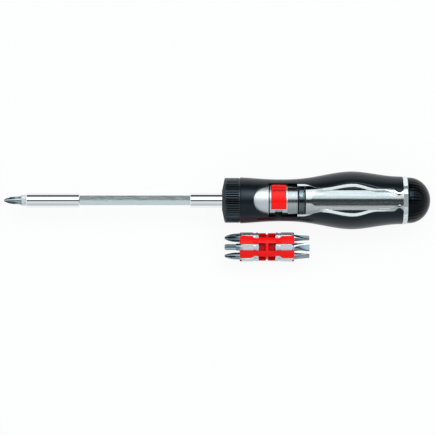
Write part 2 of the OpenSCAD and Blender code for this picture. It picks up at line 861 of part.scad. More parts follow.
// A bit with a six-lobe tip of the given size across the lobes
module lobe_bit(size) {
    neck = 1.6;
    tip_len = 6;
    root = size / 2 + free_gap;
    valley_at = 0.56 * size;
    valley_d = 0.38 * size;
    bit_blank([[root, shank_len + neck], [root, bit_len - tip_len - neck], [size / 3, bit_len - tip_len],
               [0, bit_len - tip_len]]);
    section(bit_len - tip_len - over, bit_len) difference() {
        circle(d = size);
        for (k = [0 : rows - 1]) rotate(row_turn * k) translate([valley_at, 0]) circle(d = valley_d);
    }
}

// A bit with a flat blade of the given width, facing up
module blade_bit(size) {
    neck = 1.6;
    tip_t = size / 6;
    root = hex_af / (1 + sqrt(3));
    flare = 4;
    x_neck_end = shank_len + neck;
    plan = [[0, root], [x_neck_end, root], [bit_len - 2 * flare, min(root, size / 2)],
            [bit_len - flare, size / 2], [bit_len, size / 2]];
    side = [[0, root], [x_neck_end, root], [bit_len - flare / 2, tip_t / 2], [bit_len, tip_t / 2]];
    bit_blank([[root, x_neck_end], [0, x_neck_end]]);
    intersection() {
        translate([0, 0, -hex_r]) linear_extrude(2 * hex_r) two_sided(plan, shank_len);
        rotate([90, 0, 0]) translate([0, 0, -hex_r]) linear_extrude(2 * hex_r) two_sided(side, shank_len);
    }
}

// An outline that is the same on both sides of its middle line, cut off in front of x0
module two_sided(half, x0) {
    back = [for (i = [len(half) - 1 : -1 : 0]) [max(half[i][0], x0), -half[i][1]]];
    polygon(concat([for (p = half) [max(p[0], x0), p[1]]], back));
}

// Cross-tip bit in the holder, tip towards -X
module driver_bit() {
    translate([x_bit, 0, 0]) rotate([0, 0, 180]) bit("cross", fitted_root, fitted_shank);
}

// Place of the magazine beside the grip
module at_magazine() {
    translate([mag_x, mag_y, mag_z]) children();
}

// Red magazine body with six open channels at each end
module bit_magazine() {
    rim = [for (k = [0 : rows - 1], s = [-1, 1])
        round_point(mag_r, row_turn * k + s * atan(socket_r / 2 / mag_flat_r))];
    half = mag_len / 2;
    stop = mag_web / 2 - running_gap;
    band_x = band_len / 2;
    scallop_x = band_x + scallop_len;
    slope = scallop_len / 3;
    floor_r = band_r - scallop_depth;
    waist = [[mag_r + eps, scallop_x], [floor_r, scallop_x - slope], [floor_r, band_x + slope],
             [band_r, band_x], [band_r, notch_w / 2]];
    waist_back = [for (i = [len(waist) - 1 : -1 : 0]) [waist[i][0], -waist[i][1]]];
    row_sink = 1.2;
    color("#d8141a") at_magazine() difference() {
        section(-half, half) polygon(rim);
        for (k = [0 : rows - 1], end = [0, 1]) mirror([end, 0, 0]) rotate([-row_turn * k, 0, 0])
            translate([0, 0, mag_pitch_r]) hex_rod(stop, half + over, socket_af, flats_up);
        turned(concat([[mag_r + over, scallop_x]], waist, [[band_r - notch_w / 2, 0]], waist_back,
                      [[mag_r + over, -scallop_x]]));
        for (k = [0 : rows - 1], end = [0, 1]) mirror([end, 0, 0]) rotate([-row_turn * k, 0, 0])
            translate([notch_w / 2, -socket_r / 2, band_r - row_sink])
                cube([(mag_web - notch_w) / 2, socket_r, mag_r]);
    }
}

// A spare bit in its channel, in front or at the rear of the magazine
module spare_bit(b) {
    at_magazine() rotate([-row_turn * b[1], 0, 0]) translate([0, 0, mag_pitch_r])
        rotate([0, 0, b[2] == "front" ? 180 : 0]) translate([mag_web / 2, 0, 0]) bit(b[3], b[4]);
}

drive_shaft();
bit_holder();
bit_magnet();
ferrule();
knurled_ring();
ratchet_gear();
thrust_washer();
shaft_clip();
ratchet_housing();
housing_end();
housing_screws();
front_bush();
rear_bush();
pawl_pins();
pawl_springs();
detent_spring();
detent_ball();
magazine_tube();
clear_core();
soft_grip();
selector_ring();
switch_button();
pawl_forward();
pawl_reverse();
end_cap();
cap_seal();
driver_bit();
bit_magazine();
for (b = spare_bits) spare_bit(b);
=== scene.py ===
"""Looks of a ratcheting screwdriver and its bit magazine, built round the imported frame.

Lengths in the classes are millimetres and turns are radians, counted from +Z towards +Y about the
tool's X axis. A mesh is turned to metres as it is made.
"""
import logging
import math
from abc import ABC, abstractmethod
from dataclasses import dataclass
from enum import Enum
from typing import ClassVar

import bmesh
import bpy
import numpy as np
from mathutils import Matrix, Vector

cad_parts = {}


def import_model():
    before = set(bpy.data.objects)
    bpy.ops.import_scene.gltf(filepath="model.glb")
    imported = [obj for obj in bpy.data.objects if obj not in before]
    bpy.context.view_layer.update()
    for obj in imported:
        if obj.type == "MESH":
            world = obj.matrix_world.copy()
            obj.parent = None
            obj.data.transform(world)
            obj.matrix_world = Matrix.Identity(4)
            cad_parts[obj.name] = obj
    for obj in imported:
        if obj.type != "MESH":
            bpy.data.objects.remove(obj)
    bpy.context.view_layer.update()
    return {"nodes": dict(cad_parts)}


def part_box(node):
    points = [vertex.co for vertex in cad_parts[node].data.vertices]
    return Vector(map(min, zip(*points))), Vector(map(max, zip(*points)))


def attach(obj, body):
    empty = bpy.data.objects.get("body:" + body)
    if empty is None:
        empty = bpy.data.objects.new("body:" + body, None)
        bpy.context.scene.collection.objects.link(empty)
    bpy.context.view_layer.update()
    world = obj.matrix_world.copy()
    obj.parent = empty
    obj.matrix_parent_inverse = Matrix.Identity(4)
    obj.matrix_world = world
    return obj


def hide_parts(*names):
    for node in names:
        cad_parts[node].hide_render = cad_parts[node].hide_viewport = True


# Metres in a millimetre
MM = 0.001
# Least value that is divided by, and the slack where two places are compared
TINY = 1e-6
SLACK = 1e-4
# The magazine's middle
MAGAZINE = (29.7, -30.788, -5.094)
LOG = logging.getLogger("screwdriver")


# Small helpers for numbers and shapes

def linear(code: str) -> tuple[float, float, float, float]:
    """Turn an sRGB hex colour into linear red, green, blue and a full alpha, by the standard's curve.

    Args:
        code: the colour as six hex digits after a hash sign.

    Returns:
        The colour as the shader sockets take it.
    """
    parts = [int(code[i:i + 2], 16) / 255 for i in (1, 3, 5)]
    red, green, blue = (p / 12.92 if p <= 0.04045 else ((p + 0.055) / 1.055) ** 2.4 for p in parts)
    return red, green, blue, 1.0


def box_mm(node: str) -> tuple[np.ndarray, np.ndarray]:
    """Lowest and highest corner of a node's box at rest, in millimetres."""
    low, high = (np.array(corner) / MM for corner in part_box(node))
    return low, high


def ease(t: np.ndarray, power: float = 1.0) -> np.ndarray:
    """Half a cosine wave from 0 to 1, over t raised to a power and held between 0 and 1."""
    return (1 - np.cos(math.pi * np.clip(t, 0, 1) ** power)) / 2


def climb(x: np.ndarray, start: float, end: float, step: float, power: float = 1.0) -> np.ndarray:
    """An eased change by step between two places along X."""
    return step * ease((x - start) / (end - start), power)


def smooth(low: float, high: float, t: np.ndarray) -> np.ndarray:
    """The cubic step 3s² − 2s³, where s runs from 0 at low to 1 at high."""
    s = np.clip((t - low) / (high - low), 0, 1)
    return s * s * (3 - 2 * s)


def hollow(off: np.ndarray, half: float) -> np.ndarray:
    """A cosine groove: 1 at its middle, 0 at half its width and beyond."""
    return 0.5 + 0.5 * np.cos(math.pi * np.clip(off / half, 0, 1))


def bow(start: np.ndarray, corner: np.ndarray, end: np.ndarray, t: np.ndarray) -> np.ndarray:
    """Curve of the second degree: (1 − t)² of its start, 2t(1 − t) of its corner and t² of its end."""
    return (1 - t) ** 2 * start + 2 * t * (1 - t) * corner + t ** 2 * end


def shares(count: int) -> np.ndarray:
    """Evenly spread shares from 0 to 1, as a row."""
    return np.linspace(0, 1, count)[None, :]


def between(start: np.ndarray, end: np.ndarray, share: np.ndarray) -> np.ndarray:
    """Values on the way from each row's start to its end, by shares of the way."""
    return start[:, None] + (end - start)[:, None] * share


def spoke(r: np.ndarray, turn: np.ndarray) -> np.ndarray:
    """Places across the tool at radius r and a turn: y = r·sin turn, z = r·cos turn."""
    return np.stack([r * np.sin(turn), r * np.cos(turn)], axis=-1)


def turn_of(places: np.ndarray) -> np.ndarray:
    """The turn at which places across the tool lie."""
    return np.arctan2(places[..., 0], places[..., 1])


def along(x: np.ndarray, places: np.ndarray) -> np.ndarray:
    """Points from rows of places across the tool, each row at its own x."""
    return np.concatenate([np.broadcast_to(x[:, None, None], places.shape[:2] + (1,)), places], axis=-1)


def polar(x: np.ndarray, r: np.ndarray, turn: np.ndarray) -> np.ndarray:
    """Points at radius r and a turn about the X axis: (x, r·sin turn, r·cos turn)."""
    x, r, turn = np.broadcast_arrays(x, r, turn)
    return np.stack([x, r * np.sin(turn), r * np.cos(turn)], axis=-1)


def whole_turn(count: int) -> np.ndarray:
    """Evenly spread turns once round the axis, as a row."""
    return np.linspace(0, 2 * math.pi, count, endpoint=False)[None, :]


def off_groove(turn: np.ndarray, count: int, radius: float) -> np.ndarray:
    """Distance along a rim from each turn to the nearest of its evenly spread grooves."""
    return np.abs((turn * count / (2 * math.pi)) % 1 - 0.5) * (2 * math.pi * radius / count)


def rounded(corners: list[tuple[float, float, float]], steps: int = 4, most: float = 0.45) -> np.ndarray:
    """Round the inner corners of an open outline.

    Each corner becomes a curve of the second degree that leaves one side and meets the other at the
    corner's radius, or at a share of a side that is too short for that.

    Args:
        corners: x, r and radius of each corner.
        steps: pieces in each curve.
        most: the largest share of a side that a curve takes up.

    Returns:
        The outline's points, one row each.
    """
    points = [np.array(corners[0][:2])]
    t = np.linspace(0, 1, steps + 1)[:, None]
    for before, corner, after in zip(corners, corners[1:], corners[2:]):
        mid = np.array(corner[:2])
        arms = [np.array(end[:2]) - mid for end in (before, after)]
        spans = [np.linalg.norm(arm) for arm in arms]
        reach = min(corner[2], most * min(spans))
        start, end = (mid + arm / span * reach for arm, span in zip(arms, spans))
        points.extend(bow(start, mid, end, t))
    points.append(np.array(corners[-1][:2]))
    return np.array(points)


class Surface:
    """Grids of points in millimetres that are welded into one mesh."""

    # Distance in metres within which points are one, and the shortest edge that is kept
    WELD: ClassVar[float] = 2e-6
    SHORT: ClassVar[float] = 2e-7

    def __init__(self) -> None:
        """Start with no points and no faces."""
        self.points: list[np.ndarray] = []
        self.faces: list[list[int]] = []
        self.count = 0

    def grid(self, points: np.ndarray, closed: bool = False, flip: bool = False) -> None:
        """Add a grid with a quad between each four neighbours.

        The faces look along (next row) × (next column).

        Args:
            points: the grid, rows × columns × 3.
            closed: join the last column to the first.
            flip: turn the faces round.
        """
        rows, cols = points.shape[:2]
        i = np.arange(rows - 1)[:, None] * cols
        j = np.arange(cols if closed else cols - 1)[None, :]
        k = (j + 1) % cols
        quads = np.stack([i + j, i + cols + j, i + cols + k, i + k], axis=-1).reshape(-1, 4) + self.count
        self.faces.extend((quads[:, ::-1] if flip else quads).tolist())
        self.points.append(points.reshape(-1, 3))
        self.count += rows * cols

    def shell(self, skin: np.ndarray, lining: np.ndarray, flip: bool = False,
              first: np.ndarray | slice | None = None, last: np.ndarray | slice | None = None) -> None:
        """Add an outer and an inner grid, walls between their sides and faces between their ends.

        Args:
            skin: the outer grid.
            lining: the inner grid, which looks the other way.
            flip: turn all faces round.
            first: the rows with a wall along the first column, if there are any.
            last: the rows with a wall along the last column, if there are any.
        """
        self.grid(skin, flip=flip)
        self.grid(lining, flip=not flip)
        if first is not None:
            self.grid(np.stack([lining[first, 0], skin[first, 0]], axis=1), flip=flip)
        if last is not None:
            self.grid(np.stack([skin[last, -1], lining[last, -1]], axis=1), flip=flip)
        self.grid(np.stack([lining[0], skin[0]]), flip=flip)
        self.grid(np.stack([skin[-1], lining[-1]]), flip=flip)

    def polygon(self, points: np.ndarray) -> None:
        """Add one flat face.

        Args:
            points: the loop of its corners.
        """
        self.faces.append(list(range(self.count, self.count + len(points))))
        self.points.append(points)
        self.count += len(points)

    def build(self, name: str, crease: float = 40.0) -> bpy.types.Object:
        """Weld the grids into an object with smooth faces and sharp creases.

        Args:
            name: the piece's name.
            crease: angle in degrees past which an edge stays sharp.

        Returns:
            The new object, linked to the scene.
        """
        mesh = bpy.data.meshes.new(name)
        mesh.from_pydata(np.concatenate(self.points) * MM, [], self.faces)
        welded = bmesh.new()
        welded.from_mesh(mesh)
        bmesh.ops.remove_doubles(welded, verts=welded.verts, dist=self.WELD)
        bmesh.ops.dissolve_degenerate(welded, edges=welded.edges, dist=self.SHORT)
        welded.to_mesh(mesh)
        welded.free()
        mesh.polygons.foreach_set("use_smooth", np.ones(len(mesh.polygons), dtype=bool))
        mesh.set_sharp_from_angle(angle=math.radians(crease))
        piece = bpy.data.objects.new(name, mesh)
        bpy.context.scene.collection.objects.link(piece)
        return piece


# Finishes

def bare(owner: bpy.types.Material | bpy.types.World) -> None:
    """Turn on the nodes of a material or the world, and clear them."""
    owner.use_nodes = True
    owner.node_tree.nodes.clear()


def add_node(tree: bpy.types.NodeTree, kind: str, values: dict | None = None,
             links: dict | None = None) -> bpy.types.Node:
    """Add a node, set its values and link its inputs.

    Args:
        tree: the node tree.
        kind: the node's type name.
        values: inputs by name or number, or the node's own settings by name.
        links: output sockets to link, by the name or number of the input.

    Returns:
        The new node.
    """
    node = tree.nodes.new(kind)
    for key, value in (values or {}).items():
        if isinstance(key, int) or key in node.inputs:
            node.inputs[key].default_value = value
        else:
            setattr(node, key, value)
    for key, socket in (links or {}).items():
        tree.links.new(socket, node.inputs[key])
    return node


class Across(Enum):
    """What the limits of a zone are measured along: the axes that count, and the middle of a distance.

    LENGTH and SIDE are places along X and Y, RADIUS is the distance from the tool's axis, SPREAD the
    one along X from the magazine's middle and DEPTH the one from the magazine's axis.
    """

    LENGTH = ((1, 0, 0), None)
    SIDE = ((0, 1, 0), None)
    RADIUS = ((0, 1, 1), (0, 0, 0))
    SPREAD = ((1, 0, 0), MAGAZINE)
    DEPTH = ((0, 1, 1), MAGAZINE)


@dataclass(frozen=True)
class Zone:
    """Part of a piece with another surface, past two limits in millimetres.

    Where back is given, the zone fades out again past it, over as much as it takes to fade in.
    """

    across: Across
    low: float
    high: float
    colour: str
    rough: float
    metallic: float = 0.0
    transmission: float = 0.0
    back: float | None = None

    def share(self, tree: bpy.types.NodeTree, place: bpy.types.NodeSocket) -> bpy.types.NodeSocket:
        """Grow from 0 at the low limit to 1 at the high one, and fall again where the zone ends.

        Args:
            tree: the node tree.
            place: the Object coordinates.

        Returns:
            The socket that gives the share.
        """
        axes, middle = self.across.value
        values = {"operation": "DOT_PRODUCT", 1: axes}
        if middle is not None:
            shift = tuple(-axis * value * MM for axis, value in zip(axes, middle))
            off = {"operation": "MULTIPLY_ADD", 1: axes, 2: shift}
            place = add_node(tree, "ShaderNodeVectorMath", off, {0: place}).outputs[0]
            values = {"operation": "LENGTH"}
        reach = add_node(tree, "ShaderNodeVectorMath", values, {0: place}).outputs["Value"]
        limits = [(self.low, self.high)]
        if self.back is not None:
            limits.append((self.back + self.high - self.low, self.back))
        steps = [add_node(tree, "ShaderNodeMapRange", {"From Min": none * MM, "From Max": full * MM},
                          {"Value": reach}).outputs["Result"] for none, full in limits]
        if len(steps) == 1:
            return steps[0]
        return add_node(tree, "ShaderNodeMath", {"operation": "MULTIPLY"}, dict(enumerate(steps))).outputs[0]


@dataclass(frozen=True)
class Finish:
    """One real finish: its colours, its shader values and the grain that varies them.

    grain is the size of one mottle along X, Y and Z in millimetres, rough the lowest and highest
    roughness, and bump the height of the grain in millimetres.
    """

    name: str
    light: str
    dark: str
    grain: tuple[float, float, float]
    rough: tuple[float, float]
    metallic: float = 0.0
    bump: float = 0.0
    ior: float = 1.5
    sheen: float = 0.0
    gloss_tint: str = "#FFFFFF"
    transmission: float = 0.0
    zones: tuple[Zone, ...] = ()

    # Detail of the mottle, its values at the lowest and highest roughness, and the spread of a sheen
    DETAIL: ClassVar[float] = 3.0
    MOTTLE: ClassVar[tuple[float, float]] = (0.3, 0.7)
    SHEEN_ROUGH: ClassVar[float] = 0.4

    def material(self) -> bpy.types.Material:
        """Make the material once, or return it if it is there.

        Returns:
            The node material: noise on Object coordinates drives colour, roughness and bump.
        """
        made = bpy.data.materials.get(self.name)
        if made:
            return made
        made = bpy.data.materials.new(self.name)
        bare(made)
        tree = made.node_tree
        place = add_node(tree, "ShaderNodeTexCoord").outputs["Object"]
        scale = tuple(1 / (size * MM) for size in self.grain)
        spread = add_node(tree, "ShaderNodeMapping", {"Scale": scale}, {"Vector": place})
        noise = add_node(tree, "ShaderNodeTexNoise", {"Scale": 1.0, "Detail": self.DETAIL},
                         {"Vector": spread.outputs["Vector"]})
        mottle = noise.outputs["Fac"]
        # A Mix node's inputs 2 and 3 are its two numbers, 6 and 7 its two colours
        colours = {"data_type": "RGBA", 6: linear(self.dark), 7: linear(self.light)}
        colour = add_node(tree, "ShaderNodeMix", colours, {0: mottle})
        limits = dict(zip(("From Min", "From Max", "To Min", "To Max"), self.MOTTLE + self.rough))
        rough = add_node(tree, "ShaderNodeMapRange", limits, {"Value": mottle})
        tint = linear(self.gloss_tint)
        values = {"Metallic": self.metallic, "IOR": self.ior, "Transmission Weight": self.transmission,
                  "Specular Tint": tint, "Sheen Weight": self.sheen, "Sheen Tint": tint,
                  "Sheen Roughness": self.SHEEN_ROUGH}
        links = {"Base Color": colour.outputs[2], "Roughness": rough.outputs["Result"]}
        for zone in self.zones:
            links.update(self.blend(tree, zone, zone.share(tree, place), links))
        if self.bump:
            relief = add_node(tree, "ShaderNodeBump", {"Strength": 1.0, "Distance": self.bump * MM},
                              {"Height": mottle})
            links["Normal"] = relief.outputs["Normal"]
        shader = add_node(tree, "ShaderNodeBsdfPrincipled", values, links)
        add_node(tree, "ShaderNodeOutputMaterial", links={"Surface": shader.outputs["BSDF"]})
        return made

    def blend(self, tree: bpy.types.NodeTree, zone: Zone, share: bpy.types.NodeSocket, links: dict) -> dict:
        """Mix the finish with the surface of a zone.

        What is the same in both stays a value on the shader's own socket.

        Args:
            tree: the node tree.
            zone: the zone.
            share: how much of it shows.
            links: the sockets outside the zone by the shader's input.

        Returns:
            Sockets for the shader's inputs by name.
        """
        mixed = {}
        for name, plain, other in (("Metallic", self.metallic, zone.metallic),
                                   ("Transmission Weight", self.transmission, zone.transmission)):
            if name not in links and plain == other:
                continue
            before = {2: links[name]} if name in links else {}
            mix = add_node(tree, "ShaderNodeMix", {2: plain, 3: other}, {0: share, **before})
            mixed[name] = mix.outputs[0]
        colour = add_node(tree, "ShaderNodeMix", {"data_type": "RGBA", 7: linear(zone.colour)},
                          {0: share, 6: links["Base Color"]})
        rough = add_node(tree, "ShaderNodeMix", {3: zone.rough}, {0: share, 2: links["Roughness"]})
        return {"Base Color": colour.outputs[2], "Roughness": rough.outputs[0], **mixed}

    def dress(self, piece: bpy.types.Object) -> None:
        """Put the finish on every material slot of an object, or give it its first one.

        Args:
            piece: the object.
        """
        if not piece.material_slots:
            piece.data.materials.append(None)
        for slot in piece.material_slots:
            slot.material = self.material()


# Blasted, moulded and eroded grains are finer in life and are drawn as coarse as they need to show.

# Mirror chrome plate on turned steel: sharp strips of the room, with faint hairlines along the tube
CHROME = Finish("chrome_plate", "#F4F5F7", "#E9ECEF", (18, 0.35, 0.35), (0.02, 0.05), metallic=1.0)
# Nickel-plated drawn hexagon bar: satin, with faint streaks along the drawing direction
BAR_PLATE = Finish("nickel_plated_drawn_bar", "#F6FEFF", "#E2EDF0", (5, 0.6, 0.6), (0.17, 0.25),
                   metallic=1.0, bump=0.0008)
# Bead-blasted and plated zinc casting of the barrel: a pale satin face that ends at the seam groove, where
# shade is painted near black
SATIN = Finish("satin_plated_casting", "#D8DDE0", "#CCD2D6", (0.5, 0.5, 0.5), (0.43, 0.51), metallic=1.0,
               bump=0.002, zones=(Zone(Across.LENGTH, 30.52, 30.58, "#0C0D0E", 0.45, back=31.16),))
# Selector ring: the same satin plate under the switch, with shade painted near black on the wing that runs
# under the grip, past y = −8
SELECTOR = Finish("satin_plate_with_painted_shade", "#E0E2E2", "#D2D5D6", (0.5, 0.5, 0.5), (0.3, 0.38),
                  metallic=1.0, bump=0.002, zones=(Zone(Across.SIDE, -8.0, -8.2, "#0C0D0E", 0.45),))
# Polished and plated band behind the switch: it mirrors the room with a soft edge
BAND = Finish("polished_plated_casting", "#AFB5B9", "#A4AAAE", (0.6, 2.5, 2.5), (0.15, 0.21), metallic=1.0)
# Drawn bright steel tube round the magazine bay: it mirrors the room through the clear core
TUBE = Finish("bright_drawn_tube", "#F1F4F5", "#DCE2E4", (6, 0.5, 0.5), (0.08, 0.16), metallic=1.0)
# Bright alloy steel of the fitted bit: a blue-grey tip polished by use, and a pale satin hexagon
BIT_STEEL = Finish("polished_bit_steel", "#B9C4CB", "#8E9BA4", (0.6, 0.6, 0.6), (0.1, 0.2), metallic=1.0,
                   bump=0.002, zones=(Zone(Across.LENGTH, -132.3, -131.9, "#DDE2E5", 0.42, metallic=1.0),))
# Spare bits: the same bright steel at their tips, with pale satin shanks
SPARE_STEEL = Finish("satin_bit_steel", "#DFE3E6", "#BFC6CB", (0.5, 0.5, 0.5), (0.4, 0.5), metallic=1.0,
                     bump=0.002, zones=(Zone(Across.SPREAD, 16.5, 18.5, "#84919A", 0.13, metallic=1.0),))
# Ground and hardened inner steel: grey with fine grinding marks
TOOL_STEEL = Finish("ground_tool_steel", "#A7ACB2", "#868C93", (3, 0.25, 0.25), (0.25, 0.4), metallic=1.0,
                    bump=0.004)
# Sintered bronze bushes: warm matt metal with pores
BRONZE = Finish("sintered_bronze", "#B98F55", "#94703F", (0.3, 0.3, 0.3), (0.35, 0.55), metallic=1.0,
                bump=0.01)
# Sintered magnet under nickel: dark and slightly rough
MAGNET = Finish("nickel_coated_magnet", "#8F9296", "#6E7276", (0.5, 0.5, 0.5), (0.25, 0.4), metallic=1.0,
                bump=0.006)
# Moulded ABS of the end cap: black and glossy, with a faint moulding texture
BLACK_ABS = Finish("moulded_black_abs", "#050506", "#030304", (0.6, 0.6, 0.6), (0.12, 0.2), bump=0.001,
                   ior=1.27, gloss_tint="#B4D2E4")
# The same ABS on the finger ring: ridges rubbed to a shine, duller grooves between them and a duller nose,
# both darkened with painted shade
RING_ABS = Finish("rubbed_black_abs", "#15181A", "#0E1012", (0.6, 0.6, 0.6), (0.16, 0.24), bump=0.001,
                  ior=1.72, gloss_tint="#C8E0EE",
                  zones=(Zone(Across.RADIUS, 14.7, 14.5, "#020303", 0.4),
                         Zone(Across.LENGTH, 2.2, 1.9, "#040506", 0.8)))
# Over-moulded thermoplastic rubber: bluish charcoal with a silky sheen from its fine spark-eroded grain
RUBBER = Finish("overmoulded_rubber", "#0C1115", "#080B0E", (0.35, 0.35, 0.35), (0.27, 0.35), bump=0.004,
                ior=1.42, sheen=0.08, gloss_tint="#C8E2F4")
# Injection-moulded polycarbonate: silvered under the panels and at the end ring, clear at the collar, with
# painted shade in its two grooves, and frosted on the raised rims, whose near-white colour is painted light
CLEAR = Finish("silvered_clear_polycarbonate", "#DEE3E4", "#CCD3D5", (9, 3, 3), (0.02, 0.06), metallic=0.65,
               ior=1.585, transmission=1.0,
               zones=(Zone(Across.LENGTH, 54.0, 53.6, "#8C999D", 0.01, transmission=1.0),
                      # Painted shade: near-black bands in the two grooves at the ends of the collar
                      Zone(Across.LENGTH, 49.55, 49.7, "#0A0D0F", 0.2, back=50.5),
                      Zone(Across.LENGTH, 53.75, 53.9, "#0A0D0F", 0.2, back=54.85),
                      Zone(Across.LENGTH, 118.6, 118.9, "#DDE4E6", 0.22, metallic=0.75, transmission=0.3),
                      # Frosted rims: their near-white colour is painted light, standing for light carried
                      # through the clear plastic
                      Zone(Across.SIDE, 9.2, 9.5, "#F2F8F9", 0.3, transmission=0.1),
                      Zone(Across.SIDE, -9.2, -9.5, "#F2F8F9", 0.3, transmission=0.1),
                      Zone(Across.RADIUS, 15.8, 16.7, "#EEF3F4", 0.35, transmission=0.15)))
# Pigmented polyamide of the switch: saturated red with a soft gloss, with shade painted as a darker red in
# its grooves and round its edge
SWITCH_RED = Finish("glossy_red_polyamide", "#FC1410", "#F8110E", (2.5, 2.5, 2.5), (0.24, 0.32), ior=1.28,
                    bump=0.001, zones=(Zone(Across.RADIUS, 14.2, 13.75, "#B40D18", 0.4),))
# Moulded acetal of the magazine: red, softly glossy, slightly uneven, duller in its hollows, with painted
# shade there
MAGAZINE_RED = Finish("red_acetal", "#FF1816", "#F41210", (1.0, 0.8, 0.8), (0.28, 0.4), bump=0.004, ior=1.28,
                      zones=(Zone(Across.DEPTH, 8.5, 6.8, "#C01018", 0.5),))
# Moulded rubber of the sealing ring: dull black
SEAL = Finish("nitrile_rubber", "#15171A", "#0E1012", (0.3, 0.3, 0.3), (0.5, 0.65), bump=0.008, ior=1.52)


class Piece(ABC):
    """A new piece with its finish, the body that it moves with, its slot and the node that it replaces."""

    finish: Finish
    body: str
    slot: str
    node: str

    @abstractmethod
    def build(self) -> bpy.types.Object:
        """Make the piece's mesh."""

    def settle(self) -> None:
        """Build the piece, dress it, set it on its body and report it."""
        piece = self.build()
        self.finish.dress(piece)
        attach(piece, self.body)
        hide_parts(self.node)
        LOG.info("%s: %d faces on %s", piece.name, len(piece.data.polygons), self.body)


# Handle

@dataclass
class HandleForm:
    """The outer form that the soft grip and the clear core share.

    A name that ends in _r is a radius, in _w the half width of an opening, in _power how late a
    curve rises and in _rows a count. flat is the height of the flats on top and underneath, low_nose
    the length of the lower window's round end, hair how close rows lie to a step and digits how many
    decimals tell two rows apart. The others are places along X.
    """

    front: float
    ring: float
    bulge_r: float
    flat: float
    lip_r: float = 15.169
    neck_r: float = 13.819
    tail_r: float = 15.719
    neck: float = 38.5
    bulge: float = 85.8
    lip_power: float = 0.8
    bulge_power: float = 1.25
    tail_power: float = 0.9
    panel_r: float = 28.0
    face_r: float = 9.4
    face_back: float = 30.2
    slot_w: float = 10.909
    collar: float = 49.5
    collar_w: float = 10.6
    window: float = 52.8
    waist: float = 64.5
    waist_w: float = 7.9
    bulge_w: float = 10.7
    rear: float = 102.5
    rear_w: float = 7.4
    shoulder: float = 112.2
    throat: float = 115.9
    throat_w: float = 5.2
    flare_w: float = 7.2
    low_nose: float = 6.0
    hair: float = 0.01
    digits: int = 5
    bend_rows: int = 14
    tail_rows: int = 40

    @classmethod
    def from_frame(cls) -> "HandleForm":
        """Take the grip's ends, width and flats from its node's box."""
        low, high = box_mm("soft_grip")
        return cls(front=low[0], ring=high[0], bulge_r=high[1], flat=high[2])

    def radius(self, x: np.ndarray) -> np.ndarray:
        """Outer radius: eased from lip to neck, on to the bulge and down to the tail.

        Args:
            x: places along the handle.

        Returns:
            The radius at each place.
        """
        lip = climb(x, self.front, self.neck, self.neck_r - self.lip_r, self.lip_power)
        bulge = climb(x, self.neck, self.bulge, self.bulge_r - self.neck_r, self.bulge_power)
        tail = climb(x, self.bulge, self.ring, self.tail_r - self.bulge_r, self.tail_power)
        return self.lip_r + lip + bulge + tail

    def window_width(self, x: np.ndarray) -> np.ndarray:
        """Half width of the window: eased from the collar to waist, bulge, rear part and throat.

        Behind the throat it flares with the square of the distance up to the end ring.

        Args:
            x: places along the handle.

        Returns:
            The half width at each place.
        """
        width = self.collar_w + climb(x, self.window, self.waist, self.waist_w - self.collar_w)
        width += climb(x, self.waist, self.bulge, self.bulge_w - self.waist_w)
        width += climb(x, self.bulge, self.rear, self.rear_w - self.bulge_w)
        width += climb(x, self.shoulder, self.throat, self.throat_w - self.rear_w)
        flare = np.clip((x - self.throat) / (self.ring - self.throat), 0, 1) ** 2
        return width + (self.flare_w - self.throat_w) * flare

    def top_width(self, x: np.ndarray) -> np.ndarray:
        """Half width of the opening on top: half disc, switch opening, then the window.

        Args:
            x: places along the handle.

        Returns:
            The half width at each place.
        """
        disc = np.sqrt(np.clip(self.face_r ** 2 - (self.face_back - x) ** 2, 0, None))
        slot = np.where(x < self.collar, self.slot_w, self.window_width(x))
        return np.where(x <= self.face_back, disc, slot)

    def low_width(self, x: np.ndarray) -> np.ndarray:
        """Half width of the window underneath, whose front end is half an ellipse."""
        nose = np.sqrt(1 - np.clip(1 - (x - self.window) / self.low_nose, 0, 1) ** 2)
        return np.where(x < self.window, 0, self.window_width(x) * nose)

    def height(self, x: np.ndarray, y: np.ndarray) -> np.ndarray:
        """Height of the top surface at y: the round form, cut off at the flats."""
        return np.minimum(self.flat, np.sqrt(np.clip(self.radius(x) ** 2 - y ** 2, 0, None)))

    def panel(self, x: np.ndarray, y: np.ndarray) -> np.ndarray:
        """Height of the round panel in the window on top: an arc that touches the flat, within the form."""
        return np.minimum(self.height(x, y), self.flat - self.panel_r + np.sqrt(self.panel_r ** 2 - y ** 2))

    def flat_reach(self, turn: np.ndarray) -> np.ndarray:
        """Distance from the axis to the flats along a turn: flat over the turn's cosine."""
        return self.flat / np.maximum(np.abs(np.cos(turn)), TINY)

    def rows(self, start: float, end: float, count: int) -> np.ndarray:
        """Places along X, closer together at the rounded ends of the openings and along the throat.

        Args:
            start: first place.
            end: last place.
            count: places that are evenly spread.

        Returns:
            The places in order.
        """
        bend = 1 - np.cos(np.linspace(0, math.pi / 2, self.bend_rows))
        face = self.face_back - self.face_r + self.face_r * bend
        nose = self.window + self.low_nose * bend
        steps = [self.face_back + 2 * self.hair, self.collar - self.hair, self.collar + 2 * self.hair]
        tail = np.linspace(self.shoulder, self.ring, self.tail_rows)
        places = np.concatenate([np.linspace(start, end, count), face, nose, tail, steps])
        places = np.unique(np.round(places[(places >= start) & (places <= end)], self.digits))
        return np.clip(places, start, end)


